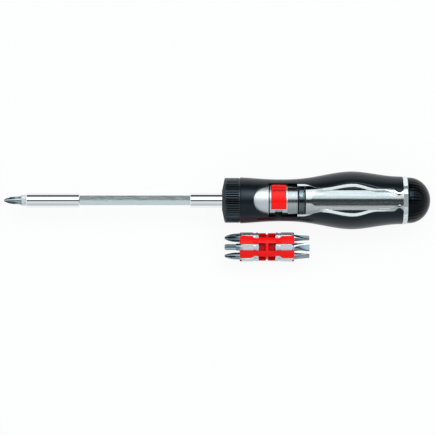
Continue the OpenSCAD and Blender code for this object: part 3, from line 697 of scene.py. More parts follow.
@dataclass
class SoftGrip(Piece):
    """The black over-moulded grip with its openings, and the lens-shaped beads beside the panel.

    rim and lip are the roundings of its openings and of its ends.
    """

    finish: ClassVar[Finish] = RUBBER
    body: ClassVar[str] = "handle"
    slot: ClassVar[str] = "soft_black"
    node: ClassVar[str] = "soft_grip"
    form: HandleForm
    barrel_r: float = 12.63
    core_r: float = 12.90
    rim: float = 0.55
    lip: float = 0.3
    bead_at: float = 6.4
    bead_w: float = 2.15
    bead_half: float = 17.5
    bead_h: float = 0.3
    bead_sink: float = 0.05
    bead_rows: int = 41
    bead_cols: int = 9
    rows: int = 130
    lip_rows: int = 6
    arc_cols: int = 72
    rim_cols: int = 6

    def edge(self, radius: np.ndarray, width: np.ndarray) -> tuple[np.ndarray, np.ndarray]:
        """Rounded rim along one opening, in the quadrant of +Y and +Z.

        A curve of the second degree runs from the wall of the opening over its edge to the skin.

        Args:
            radius: outer radius at each place along the handle.
            width: half width of the opening there.

        Returns:
            The rim's points (rows × columns × 2, as y and z) and the turn at which the skin starts.
        """
        height = np.minimum(self.form.flat, np.sqrt(radius ** 2 - width ** 2))
        rim = self.rim * np.clip(width, 0, 1)
        turn = np.arctan2(width, height) + rim / radius
        wall, corner = (np.stack([width, z], axis=-1)[:, None] for z in (height - rim, height))
        skin = spoke(np.minimum(radius, self.form.flat_reach(turn)), turn)[:, None]
        return bow(wall, corner, skin, shares(self.rim_cols)[..., None]), turn

    def bead(self) -> np.ndarray:
        """Closed loops of the lens-shaped bead on the panel, in the quadrant of +Y and +Z.

        Its width falls with the square of the distance from the bulge. Its top is a low sine arch
        and its underside lies just in the panel.

        Returns:
            Loops × points × 3.
        """
        way = np.sin(np.linspace(-math.pi / 2, math.pi / 2, self.bead_rows))[:, None]
        width = self.bead_w * (1 - way ** 2)
        across = shares(self.bead_cols)
        x = np.broadcast_to(self.form.bulge + self.bead_half * way, (self.bead_rows, self.bead_cols))
        y = self.bead_at + width * across
        panel = self.form.panel(x, y)
        thin = np.sqrt(width / self.bead_w)
        tops = panel + self.bead_h * thin * np.sin(math.pi * across)
        over, under = (np.stack([x, y, z], axis=-1) for z in (tops, panel - self.bead_sink * thin))
        return np.concatenate([over, under[:, -2:0:-1]], axis=1)

    def build(self) -> bpy.types.Object:
        """Make the grip from two mirrored halves of skin, lining, walls, end faces and beads.

        Returns:
            The grip.
        """
        form = self.form
        bend = self.lip * (1 - np.cos(np.linspace(0, math.pi / 2, self.lip_rows)))
        rows = form.rows(form.front, form.ring, self.rows)
        x = np.unique(np.concatenate([rows, form.front + bend, form.ring - bend]))
        from_end = np.clip(np.minimum(x - form.front, form.ring - x), 0, self.lip)
        radius = form.radius(x) - self.lip + np.sqrt(self.lip ** 2 - (self.lip - from_end) ** 2)
        top, low = form.top_width(x), form.low_width(x)
        top_rim, start = self.edge(radius, top)
        low_rim, end = self.edge(radius, low)
        turn = between(start, math.pi - end, shares(self.arc_cols))
        arc = spoke(np.minimum(radius[:, None], form.flat_reach(turn)), turn)
        outer = np.concatenate([top_rim, arc[:, 1:-1], low_rim[:, ::-1] * (1, -1)], axis=1)
        inner_r = np.where(x < form.collar, self.barrel_r, self.core_r)
        start, end = np.arcsin(top / inner_r), math.pi - np.arcsin(low / inner_r)
        inner = spoke(inner_r[:, None], between(start, end, shares(outer.shape[1])))
        open_top = x >= form.face_back - form.face_r - SLACK
        open_low = x >= form.window - SLACK
        surface = Surface()
        for side in (1, -1):
            skin, lining = (along(x, part * (side, 1)) for part in (outer, inner))
            surface.shell(skin, lining, side < 0, open_top, open_low)
            surface.grid(self.bead() * (1, side, 1), closed=True, flip=side < 0)
        return surface.build("soft_grip_skin")


@dataclass
class ClearCore(Piece):
    """The clear handle core: a thick tube, window pads with raised rims, and the end ring."""

    finish: ClassVar[Finish] = CLEAR
    body: ClassVar[str] = "handle"
    slot: ClassVar[str] = "clear_plastic"
    node: ClassVar[str] = "clear_core"
    form: HandleForm
    end: float
    tube_r: float = 12.919
    bore_r: float = 11.099
    ring_r: float = 15.769
    bond: float = 0.02
    rim_w: float = 2.1
    rim_step: float = 0.35
    panel_share: float = 0.98
    grooves: tuple[float, float] = (50.05, 54.2)
    groove_half: float = 0.45
    groove_depth: float = 0.5
    edge: float = 0.5
    ring_front: float = 0.3
    ring_edge: float = 0.6
    rows: int = 110
    groove_rows: int = 9
    panel_cols: int = 40
    rim_cols: int = 18
    edge_cols: int = 6
    side_cols: int = 30
    crease: float = 35.0

    def pad(self, x: np.ndarray, width: np.ndarray, raised: np.ndarray, flat: bool) -> np.ndarray:
        """Points of one window pad from its middle over its raised rim to the tube.

        A cubic step joins the round panel to the rim, and a curve of the second degree rounds the
        rim's outer edge. Two cosine grooves mark the ends of the collar in front of the panel.

        Args:
            x: places along the handle.
            width: half width of the pad there.
            raised: true where the pad stands on the tube.
            flat: true for the pad underneath, which has neither panel nor grooves.

        Returns:
            Rows × columns × 2, as y and z, in the quadrant of +Y and +Z.
        """
        edge = self.edge * np.clip(width, 0, 1)
        inner = np.clip(width - self.rim_w, 0, None) * self.panel_share
        panel = inner[:, None] * shares(self.panel_cols)
        rim = between(inner, width - edge, shares(self.rim_cols)[:, 1:])
        y = np.concatenate([panel, rim], axis=1)
        column = x[:, None]
        tops = self.form.height(column, y)
        if not flat:
            lift = smooth(0, self.rim_step, y - inner[:, None])
            off = np.min(np.abs(column - np.array(self.grooves)), axis=1, keepdims=True)
            groove = self.groove_depth * hollow(off, self.groove_half)
            tops = self.form.panel(column, y) * (1 - lift) + tops * lift - groove
        tops = np.where(raised[:, None], tops, np.sqrt(self.tube_r ** 2 - y ** 2))
        top = np.stack([y, tops], axis=-1)
        foot = np.sqrt(self.tube_r ** 2 - width ** 2)
        brink = np.where(raised, self.form.height(x, width), foot)
        heights = (brink, np.where(raised, brink - edge, foot), foot)
        corner, wall, base = (np.stack([width, z], axis=-1)[:, None] for z in heights)
        brim = bow(top[:, -1:], corner, wall, shares(self.edge_cols)[:, 1:, None])
        return np.concatenate([top, brim, base], axis=1)

    def build(self) -> bpy.types.Object:
        """Make the core from two mirrored halves, each with its skin, bore and end faces.

        Returns:
            The core.
        """
        form = self.form
        fine = np.linspace(-self.groove_half, self.groove_half, self.groove_rows)
        rows = form.rows(form.collar, form.ring, self.rows)
        x = np.unique(np.concatenate([rows, *(at + fine for at in self.grooves)]))
        step = np.searchsorted(x, form.window)
        x = np.insert(x, step, form.window)
        top_pad = self.pad(x, form.window_width(x) + self.bond, np.ones(len(x), dtype=bool), False)
        low_pad = self.pad(x, form.low_width(x), np.arange(len(x)) > step, True)[:, ::-1] * (1, -1)
        turn = between(turn_of(top_pad[:, -1]), turn_of(low_pad[:, 0]), shares(self.side_cols)[:, 1:-1])
        body = np.concatenate([top_pad, spoke(self.tube_r, turn), low_pad], axis=1)
        turns = turn_of(body[[0, -1]])
        turns[:, -1] = math.pi
        ring = rounded([(form.ring, 0, 0), (form.ring, self.ring_r, self.ring_front),
                        (self.end, self.ring_r, self.ring_edge), (self.end, 0, 0)])[1:-1]
        reach = np.minimum(ring[:, 1:], form.flat_reach(turns[1]) - (self.ring_r - ring[:, 1:]))
        outer = np.concatenate([body, spoke(reach, turns[1])])
        places = np.concatenate([x, ring[:, 0]])
        bore = np.array([[form.collar], [self.end]])
        surface = Surface()
        for side in (1, -1):
            hole = polar(bore, self.bore_r, turns * side)
            surface.shell(along(places, outer * (side, 1)), hole, side < 0)
        return surface.build("clear_core_body", self.crease)


@dataclass
class EndCap(Piece):
    """The black domed cap with its hollow plug and shallow flutes.

    rounds holds the radii of the profile's corners, from the pocket's middle to the skirt's end.
    """

    finish: ClassVar[Finish] = BLACK_ABS
    body: ClassVar[str] = "cap"
    slot: ClassVar[str] = "black_gloss"
    node: ClassVar[str] = "end_cap"
    skirt: float
    pole: float
    radius: float
    plug: float
    plug_r: float = 10.469
    pocket_r: float = 8.069
    pocket: float = 127.05
    skirt_len: float = 1.0
    seat: float = 0.15
    seal: float = 117.05
    seal_half: float = 0.7
    seal_floor: float = 9.189
    rounds: tuple[float, ...] = (0, 0.8, 0.3, 0.5, 0.1, 0.1, 0.1, 0.1, 0.2, 0.35, 0)
    flutes: int = 32
    flute_half: float = 0.9
    flute_depth: float = 0.12
    flute_fade: tuple[float, float] = (0.3, 0.75)
    flute_run: float = 1.2
    dome_rows: int = 40
    cols_per_flute: int = 14

    @classmethod
    def from_frame(cls) -> "EndCap":
        """Take plug, pole and radius from the node's box, and seat the skirt just behind the core's end."""
        low, high = box_mm("end_cap")
        return cls(skirt=box_mm("clear_core")[1][0] + cls.seat, pole=high[0], radius=high[1], plug=low[0])

    def build(self) -> bpy.types.Object:
        """Turn the profile about X and press the flutes into the dome.

        The dome is a quarter ellipse. A flute is a cosine groove along it, which fades out towards
        the pole and at the skirt.

        Returns:
            The cap.
        """
        shell = self.skirt + self.skirt_len
        before, behind = self.seal - self.seal_half, self.seal + self.seal_half
        x = (self.pocket, self.pocket, self.plug, self.plug, before, before, behind, behind, self.skirt,
             self.skirt, shell)
        r = (0, self.pocket_r, self.pocket_r, self.plug_r, self.plug_r, self.seal_floor, self.seal_floor,
             self.plug_r, self.plug_r, self.radius, self.radius)
        base = rounded(list(zip(x, r, self.rounds)))
        arc = np.linspace(0, math.pi / 2, self.dome_rows)[1:]
        dome = np.stack([shell + (self.pole - shell) * np.sin(arc), self.radius * np.cos(arc)], axis=-1)
        profile = np.concatenate([base, dome])
        turn = whole_turn(self.flutes * self.cols_per_flute)
        groove = hollow(off_groove(turn, self.flutes, self.radius), self.flute_half)
        x, r = profile[:, :1], profile[:, 1:]
        fade = smooth(*self.flute_fade, r / self.radius)
        outside = (x >= shell) * fade * smooth(0, self.flute_run, x - shell)
        surface = Surface()
        surface.grid(polar(x, r - self.flute_depth * outside * groove, turn), closed=True)
        return surface.build("end_cap_shell")


# Switch

@dataclass
class SwitchButton(Piece):
    """The red switch: a curved pad with grooves for the thumb at its upper end."""

    finish: ClassVar[Finish] = SWITCH_RED
    body: ClassVar[str] = "selector"
    slot: ClassVar[str] = "switch_red"
    node: ClassVar[str] = "switch_button"
    front: float
    back: float
    low_r: float = 12.26
    top_r: float = 14.35
    start: float = math.radians(-25.5)
    end: float = math.radians(46.5)
    edge: float = 0.7
    grooves: int = 2
    groove_pitch: float = 2.4
    groove_in: float = 1.1
    groove_depth: float = 0.6
    groove_fade: tuple[float, float] = (0.5, 1.2)
    rows: int = 60
    cols: int = 160

    @classmethod
    def from_frame(cls) -> "SwitchButton":
        """Take the switch's ends along X from its node's box."""
        low, high = box_mm("switch_button")
        return cls(front=low[0], back=high[0])

    def build(self) -> bpy.types.Object:
        """Make the pad as a top sheet with round edges, side walls and a lower sheet.

        A point's drop is that of a quarter circle over its distance to the two nearest edges. The
        grooves are those of a cosine wave, one after the other from the end at +Y.

        Returns:
            The switch.
        """
        way = (1 - np.cos(np.linspace(0, math.pi, self.rows))) / 2
        x = self.front + (self.back - self.front) * way[:, None]
        turn = self.start + (self.end - self.start) * shares(self.cols)
        arc = self.top_r * (turn - self.start)
        span = self.top_r * (self.end - self.start)
        to_end = np.minimum(x - self.front, self.back - x)
        to_side = np.minimum(arc, span - arc)
        near = np.hypot(np.clip(1 - to_end / self.edge, 0, 1), np.clip(1 - to_side / self.edge, 0, 1))
        drop = self.edge * (1 - np.sqrt(1 - np.clip(near, 0, 1) ** 2))
        phase = (span - arc - self.groove_in) / self.groove_pitch
        inside = (phase > 0) & (phase < self.grooves)
        groove = np.where(inside, 0.5 - 0.5 * np.cos(2 * math.pi * phase), 0)
        groove = groove * smooth(*self.groove_fade, to_end)
        surface = Surface()
        surface.shell(polar(x, self.top_r - drop - self.groove_depth * groove, turn),
                      polar(x, self.low_r, turn), first=slice(None), last=slice(None))
        return surface.build("switch_pad")


# Drive

@dataclass
class FingerRing(Piece):
    """The black finger ring with grooves along its rim.

    nose, edge, groove_start and groove_end are distances from the front. rounds holds the radii of
    the profile's corners: bore, face, nose, edge, land and back.
    """

    finish: ClassVar[Finish] = RING_ABS
    body: ClassVar[str] = "drive"
    slot: ClassVar[str] = "black_gloss"
    node: ClassVar[str] = "knurled_ring"
    front: float
    back: float
    radius: float
    bore_r: float = 4.716
    face_r: float = 6.4
    nose: float = 1.7
    edge_r: float = 14.3
    edge: float = 2.2
    grooves: int = 60
    groove_w: float = 0.8
    groove_depth: float = 0.9
    groove_start: float = 2.35
    groove_run: float = 0.5
    groove_end: float = 11.1
    land_step: float = 0.3
    land_r: float = 14.6
    rounds: tuple[float, ...] = (0.2, 0.4, 0.25, 0.15, 0.1, 0.2)
    gap: float = 0.06
    rim_rows: int = 30
    cols_per_groove: int = 14

    @classmethod
    def from_frame(cls) -> "FingerRing":
        """Take front and radius from the node's box, and end a running gap before the grip."""
        low, high = box_mm("knurled_ring")
        return cls(front=low[0], back=box_mm("soft_grip")[0][0] - cls.gap, radius=high[1])

    def build(self) -> bpy.types.Object:
        """Turn the closed profile about X and press the grooves into its rim.

        Across, a groove is a V between two lands; along X it starts with a cubic step and runs out
        at the lower land behind the ridges.

        Returns:
            The ring.
        """
        start, end = self.front + self.groove_start, self.front + self.groove_end
        bore, face, nose, edge, land, back = self.rounds
        before = rounded([(self.back, self.bore_r, 0), (self.front, self.bore_r, bore),
                          (self.front, self.face_r, face), (self.front + self.nose, self.edge_r, nose),
                          (self.front + self.edge, self.radius, edge), (start, self.radius, 0)])
        rim = np.linspace(start, end, self.rim_rows)[1:-1]
        after = rounded([(end, self.radius, 0), (end + self.land_step, self.land_r, land),
                         (self.back, self.land_r, back), (self.back, self.bore_r, 0)])
        profile = np.concatenate([before, np.stack([rim, np.full_like(rim, self.radius)], axis=-1), after])
        turn = whole_turn(self.grooves * self.cols_per_groove)
        across = np.clip(1 - 2 * off_groove(turn, self.grooves, self.radius) / self.groove_w, 0, 1)
        x, r = profile[:, :1], profile[:, 1:]
        place = x - self.front
        starts = smooth(0, self.groove_run, place - self.groove_start)
        depth = self.groove_depth * (starts * (place <= self.groove_end) * (r > self.edge_r))
        surface = Surface()
        surface.grid(polar(x, r - depth * across, turn), closed=True)
        return surface.build("finger_ring")


# Bits and magazine

@dataclass
class Bit(Piece):
    """One hexagon-shank bit, lying along its own X axis from its rear end to its tip.

    Each kind of tip is a class of its own, with the corners of its outline and its section.
    """

    slot: ClassVar[str] = "tool_steel"
    node: str
    body: str
    size: float
    start: tuple[float, float, float]
    facing: int
    roll: float = 0.0
    finish: Finish = SPARE_STEEL
    length: float = 22.5
    shank: float = 10.5
    shank_run: float = 2.0
    across_flats: float = 6.35
    chamfer: float = 0.6
    edge_round: float = 0.1
    corner_cut: float = 0.985
    notch_start: float = 1.3
    notch_end: float = 3.9
    notch_run: float = 0.8
    notch_r: float = 3.24
    neck: float = 1.6
    neck_round: float = 0.5
    notch_rows: int = 16
    fill_start: float = 1.0
    fill_step: float = 0.35
    cols: int = 144
    crease: float = 28.0

    @property
    def corner(self) -> float:
        """Radius of the hexagon's corners."""
        return self.across_flats / math.sqrt(3)

    @abstractmethod
    def root(self) -> float:
        """Radius of the round neck behind the tip."""

    @abstractmethod
    def nose(self) -> list[tuple[float, float, float]]:
        """Corners of the tip's outline: distance from its end, radius and rounding."""

    @abstractmethod
    def cut(self, x: np.ndarray, turn: np.ndarray, limit: np.ndarray) -> np.ndarray:
        """Cut the tip's section out of the largest radius that the shank allows at each place and turn."""

    def outline(self) -> np.ndarray:
        """Turned outline of the bit as x and r: chamfer, shank, neck and tip.

        Returns:
            The outline's points from the rear end to the tip.
        """
        lines = [(0, 0, 0), (0, self.corner - self.chamfer, self.edge_round),
                 (self.chamfer, self.corner, self.edge_round), (self.shank, self.corner, self.edge_round),
                 (self.shank + self.neck, self.root(), self.neck_round)]
        lines += [(self.length - back, r, bend) for back, r, bend in self.nose()]
        return rounded(lines + [(self.length, 0, 0)])

    def section(self, x: np.ndarray, turn: np.ndarray) -> np.ndarray:
        """Largest radius that the shank and the tip allow at each place and turn.

        The shank is a hexagon with a flat up, its corners a little cut, and a notch round it with
        cubic steps at its ends.

        Args:
            x: places along the bit, as a column.
            turn: turns about it, as a row.

        Returns:
            The radius, rows × columns.
        """
        wrapped = (turn + math.pi / 6) % (math.pi / 3) - math.pi / 6
        hexagon = np.minimum(self.across_flats / 2 / np.cos(wrapped), self.corner_cut * self.corner)
        notch = smooth(self.notch_start, self.notch_start + self.notch_run, x)
        notch = notch * smooth(-self.notch_end, self.notch_run - self.notch_end, -x)
        hexagon = np.minimum(hexagon, self.corner + (self.notch_r - self.corner) * notch)
        return self.cut(x, turn, np.where(x <= self.shank + self.shank_run, hexagon, np.inf))

    def build(self) -> bpy.types.Object:
        """Make the bit along its own axis, then turn it and put it in its place.

        Returns:
            The bit.
        """
        outline = self.outline()[1:-1]
        fill = np.arange(self.shank + self.fill_start, self.length, self.fill_step)
        notch = np.linspace(self.notch_start, self.notch_end, self.notch_rows)
        places = np.unique(np.concatenate([outline[:, 0], notch, fill]))
        reach = np.interp(places, outline[:, 0], outline[:, 1])
        x = np.concatenate([[0], places, [self.length]])[:, None]
        r = np.concatenate([[0], reach, [0]])[:, None]
        turn = whole_turn(self.cols)
        points = polar(x, np.minimum(r, self.section(x, turn)), turn)
        points = points * (self.facing, self.facing, 1)
        spin = np.array([[1, 0, 0], [0, math.cos(self.roll), math.sin(self.roll)],
                         [0, -math.sin(self.roll), math.cos(self.roll)]])
        surface = Surface()
        surface.grid(points @ spin.T + np.array(self.start), closed=True)
        return surface.build(self.node + "_body", self.crease)


@dataclass
class CrossBit(Bit):
    """A bit with a cross tip, whose size is the radius of its neck."""

    neck: float = 1.2
    end_r: float = 0.7
    end_round: float = 0.2
    arm: float = 0.3
    arm_slope: float = 0.085
    arm_foot: float = 0.6
    foot: tuple[float, float] = (6.5, 9.5)

    # Corners of the taper: distance from the end, share of the neck's radius and rounding
    TAPER: ClassVar[list[tuple[float, float, float]]] = [(5.5, 0.92, 2.5), (2.2, 0.66, 1.2)]

    def root(self) -> float:
        """Radius of the round neck behind the tip."""
        return self.size

    def nose(self) -> list[tuple[float, float, float]]:
        """A taper in two slopes and a blunt end."""
        taper = [(back, share * self.size, bend) for back, share, bend in self.TAPER]
        return taper + [(0, self.end_r, self.end_round)]

    def cut(self, x: np.ndarray, turn: np.ndarray, limit: np.ndarray) -> np.ndarray:
        """Keep the points within the arms' half width of one of two planes.

        The half width grows evenly from the end, and by a cubic step at the foot of the flutes.

        Args:
            x: places along the bit, as a column.
            turn: turns about it, as a row.
            limit: the largest radius that the shank allows, or no limit past it.

        Returns:
            The largest radius that shank and tip allow, rows × columns.
        """
        from_tip = np.clip(self.length - x, 0, None)
        arm = self.arm + self.arm_slope * from_tip + self.arm_foot * smooth(*self.foot, from_tip)
        least = np.minimum(np.abs(np.sin(turn)), np.abs(np.cos(turn)))
        return np.minimum(limit, arm / np.maximum(least, TINY))


@dataclass
class LobeBit(Bit):
    """A bit with a lobed tip, whose size is the width over its lobes."""

    root_over: float = 0.08
    lobes: int = 6
    lobe_mean: float = 0.79
    lobe_wave: float = 0.21
    lobe_len: float = 7.6
    end_share: float = 0.33

    # Corners of the tip: distance from the end and rounding
    STEPS: ClassVar[list[tuple[float, float]]] = [(8.0, 0.4), (7.5, 0.3), (1.0, 0.6), (0, 0.2)]

    def root(self) -> float:
        """Radius of the round neck behind the tip."""
        return self.size / 2 + self.root_over

    def nose(self) -> list[tuple[float, float, float]]:
        """A step from the neck to the lobes and a rounded end."""
        radii = (self.root(), self.size / 2, self.size / 2, self.end_share * self.size)
        return [(back, r, bend) for (back, bend), r in zip(self.STEPS, radii)]

    def cut(self, x: np.ndarray, turn: np.ndarray, limit: np.ndarray) -> np.ndarray:
        """Add a cosine wave with one crest for each lobe to the mean radius."""
        wave = self.size / 2 * (self.lobe_mean + self.lobe_wave * np.cos(self.lobes * turn))
        return np.where(x > self.length - self.lobe_len, np.minimum(limit, wave), limit)


@dataclass
class BladeBit(Bit):
    """A bit with a blade, whose size is the blade's width."""

    root_r: float = 2.324
    bevel: float = 0.25
    spread: tuple[float, float] = (6.0, 1.0)
    thin: float = 12.0
    thin_power: float = 0.6
    round_power: float = 2.0
    sharp_power: float = 4.0
    twist: float = math.radians(9)

    def root(self) -> float:
        """Radius of the round neck behind the tip."""
        return self.root_r

    def nose(self) -> list[tuple[float, float, float]]:
        """The blade's widest place and its bevelled end."""
        widest = max(self.root_r, self.size / 2)
        return [(self.bevel, widest, self.edge_round), (0, self.root_r, self.edge_round)]

    def cut(self, x: np.ndarray, turn: np.ndarray, limit: np.ndarray) -> np.ndarray:
        """Take a superellipse that goes from round to a flat wedge, a little turned on its hexagon.

        Args:
            x: places along the bit, as a column.
            turn: turns about it, as a row.
            limit: the largest radius that the shank allows, or no limit past it.

        Returns:
            The largest radius that shank and tip allow, rows × columns.
        """
        start = self.shank + self.neck
        way = smooth(start, self.length, x)
        wide = smooth(self.length - self.spread[0], self.length - self.spread[1], x)
        half_w = self.root_r + (self.size / 2 - self.root_r) * wide
        half_t = self.root_r + (self.size / self.thin - self.root_r) * way ** self.thin_power
        power = self.round_power + self.sharp_power * way
        bent = turn - self.twist * way
        blade = np.abs(np.sin(bent) / half_w) ** power + np.abs(np.cos(bent) / half_t) ** power
        return np.where(x > start, np.minimum(limit, blade ** (-1 / power)), limit)


@dataclass
class Magazine(Piece):
    """The red six-sided magazine: ribs with pads, scallops and a band round its middle.

    A name that ends in _run is the length of a step along X. pad_start is the turn at which the rows
    of a pad's round end begin, and hair how close a row lies to the notch.
    """

    finish: ClassVar[Finish] = MAGAZINE_RED
    body: ClassVar[str] = "magazine"
    slot: ClassVar[str] = "magazine_red"
    node: ClassVar[str] = "bit_magazine"
    centre: tuple[float, float, float]
    half: float = 18.0
    sides: int = 6
    outer_r: float = 9.9
    pitch_r: float = 6.9
    channel_flats: float = 6.5
    stop: float = 5.45
    bit_gap: float = 0.05
    band: float = 5.9
    band_r: float = 9.238
    band_run: float = 0.4
    scallop_end: float = 10.4
    scallop_run: float = 2.4
    scallop_r: float = 8.95
    notch_half: float = 0.9
    notch_depth: float = 1.5
    recess_r: float = 5.8
    recess_share: float = 1.2
    pad_round: float = 0.9
    pad_start: float = 0.2
    crown: float = 0.19
    hair: float = 0.01
    rows: int = 44
    pad_rows: int = 6
    middle_rows: int = 25
    rim_cols: int = 9
    flank_cols: int = 4
    floor_cols: int = 2
    crease: float = 32.0

    # Spare bits round the magazine, from the top row towards +Y: name, kind and size
    FRONT: ClassVar[list[tuple[str, type[Bit], float] | None]] = [
        ("lobe_25", LobeBit, 4.43), ("cross_2", CrossBit, 2.75), ("cross_3", CrossBit, 3.0),
        ("lobe_20", LobeBit, 3.86), ("cross_0", CrossBit, 2.2), ("cross_1", CrossBit, 2.4)]
    REAR: ClassVar[list[tuple[str, type[Bit], float] | None]] = [
        ("blade_55", BladeBit, 5.5), ("blade_65", BladeBit, 6.5), None,
        ("lobe_30", LobeBit, 5.5), ("lobe_15", LobeBit, 3.27), ("blade_40", BladeBit, 4.0)]

    @property
    def half_floor(self) -> float:
        """Half width of a channel's floor, which is one side of its hexagon."""
        return self.channel_flats / math.sqrt(3) / 2

    def rib_radius(self, x: np.ndarray, scalloped: bool, notched: bool) -> np.ndarray:
        """Radius of a rib's corner along X.

        Args:
            x: places along the magazine.
            scalloped: true for a corner that dips beside the band.
            notched: true for a rib with a notch across its middle.

        Returns:
            The radius: pad, scallop, band and the notch at the middle, joined by cubic steps.
        """
        place = np.abs(x)
        past = np.clip((place - self.half + self.pad_round) / self.pad_round, 0, 1)
        pad = self.outer_r - self.pad_round * (1 - np.sqrt(1 - past ** 2))
        if scalloped:
            out = smooth(self.scallop_end - self.scallop_run, self.scallop_end, place)
            pad = self.scallop_r + (pad - self.scallop_r) * out
        off_band = smooth(self.band - self.band_run, self.band + self.band_run, place)
        radius = self.band_r + (pad - self.band_r) * off_band
        return radius - notched * self.notch_depth * np.clip(1 - place / self.notch_half, 0, 1)

    def lip(self, radius: np.ndarray) -> np.ndarray:
        """Where a circle meets the flank of a channel.

        It is the smaller root of the quadratic for the distance down the flank from the roof.

        Args:
            radius: the circle's radius at each place along the magazine.

        Returns:
            The places, as u and v across the row.
        """
        half_floor = self.half_floor
        tall = self.channel_flats / 2
        slope = half_floor / tall
        roof = self.pitch_r + tall
        bend = 1 + slope ** 2
        half_b = slope * half_floor - roof
        rest = half_floor ** 2 + roof ** 2 - radius ** 2
        down = np.clip((-half_b - np.sqrt(half_b ** 2 - bend * rest)) / bend, 0, None)
        return np.stack([half_floor + slope * down, roof - down], axis=-1)

    def half_side(self, x: np.ndarray, channel: bool, own: bool, other: bool) -> np.ndarray:
        """Half of one row's section, from the middle of a rib down to the middle of the row.

        Args:
            x: places along the magazine.
            channel: true for the open channels, false for the shallow recess in the middle.
            own: true if the rib's corner at this row is scalloped.
            other: true if its other corner is.

        Returns:
            Rows × columns × 2, as u and v across the row.
        """
        middle = math.pi / self.sides
        lip, far = (self.lip(self.rib_radius(x, corner, own and other)) for corner in (own, other))
        lip_turn, far_turn = turn_of(lip), turn_of(far)
        lip_r, far_r = (np.hypot(corner[:, 0], corner[:, 1]) for corner in (lip, far))
        top_r = (lip_r * np.cos(middle - lip_turn) + far_r * np.cos(middle - far_turn)) / 2 + self.crown
        share = shares(self.rim_cols)
        rim = spoke(between(lip_r, top_r, 1 - (1 - share) ** 2), between(lip_turn, middle, share))
        if channel:
            corner = np.broadcast_to([2 * self.half_floor, self.pitch_r], lip.shape)
            floor = np.broadcast_to([self.half_floor, self.pitch_r - self.channel_flats / 2], lip.shape)
        else:
            open_here = np.abs(x) > self.notch_half
            depth = np.where(open_here, self.recess_r, np.minimum(lip[:, 1], self.band_r))
            corner = np.stack([np.minimum(lip[:, 0], self.recess_share * self.half_floor), depth], axis=-1)
            floor = corner * (0.5, 1)
        parts = [rim[:, ::-1]]
        for start, end, cols in ((lip, corner, self.flank_cols), (corner, floor, self.floor_cols)):
            step = np.linspace(0, 1, cols + 1)[1:, None]
            parts.append(start[:, None] * (1 - step) + end[:, None] * step)
        return np.concatenate(parts + [floor[:, None] * (0, 1)], axis=1)

    def loop(self, x: np.ndarray, channel: bool) -> np.ndarray:
        """Closed section loops at several places along X, row by row round the magazine.

        The rows at the top and at the bottom have straight edges, the four at the sides scallops.

        Args:
            x: places along the magazine.
            channel: true for the open channels, false for the shallow recess in the middle.

        Returns:
            Rows × columns × 3, about the magazine's own axis.
        """
        scalloped = [k % (self.sides // 2) != 0 for k in range(self.sides)]
        sides = []
        for k in range(self.sides):
            before, after = scalloped[k - 1], scalloped[(k + 1) % self.sides]
            rise = self.half_side(x, channel, scalloped[k], before)
            fall = self.half_side(x, channel, scalloped[k], after)
            side = np.concatenate([rise[:, :-1] * (-1, 1), fall[:, ::-1]], axis=1)[:, :-1]
            u, v = side[..., 0], side[..., 1]
            c, s = math.cos(2 * math.pi * k / self.sides), math.sin(2 * math.pi * k / self.sides)
            sides.append(np.stack([u * c + v * s, v * c - u * s], axis=-1))
        return along(x, np.concatenate(sides, axis=1))

    def build(self) -> bpy.types.Object:
        """Loft the loops from end to end and close both ends.

        Returns:
            The magazine body.
        """
        bend = 1 - np.sin(np.linspace(self.pad_start, math.pi / 2, self.pad_rows))
        rear = np.concatenate([np.linspace(self.stop, self.half - self.pad_round, self.rows),
                               self.half - self.pad_round * bend])
        wall = self.notch_half
        steps = np.array([0, wall / 2, wall, wall + self.hair])
        middle = np.linspace(-self.stop, self.stop, self.middle_rows)
        middle = np.unique(np.concatenate([middle, steps, -steps]))
        loops = [self.loop(-rear[::-1], True), self.loop(middle, False), self.loop(rear, True)]
        body = np.concatenate(loops) + np.array(self.centre)
        surface = Surface()
        surface.grid(body, closed=True)
        surface.polygon(body[0])
        surface.polygon(body[-1, ::-1])
        return surface.build("bit_magazine_body", self.crease)

    def spares(self) -> list[Bit]:
        """The spare bits in their rows, front ones facing −X and rear ones +X.

        Returns:
            One bit for each node.
        """
        bits = []
        for facing, rows in ((-1, self.FRONT), (1, self.REAR)):
            for k, row in enumerate(rows):
                if row is None:
                    continue
                name, kind, size = row
                roll = 2 * math.pi * k / self.sides
                offset = (facing * (self.stop + self.bit_gap), self.pitch_r * math.sin(roll),
                          self.pitch_r * math.cos(roll))
                start = tuple(np.add(self.centre, offset))
                bits.append(kind("bit_" + name, "spare_bit_" + name, size, start, facing, roll))
        return bits


# Studio

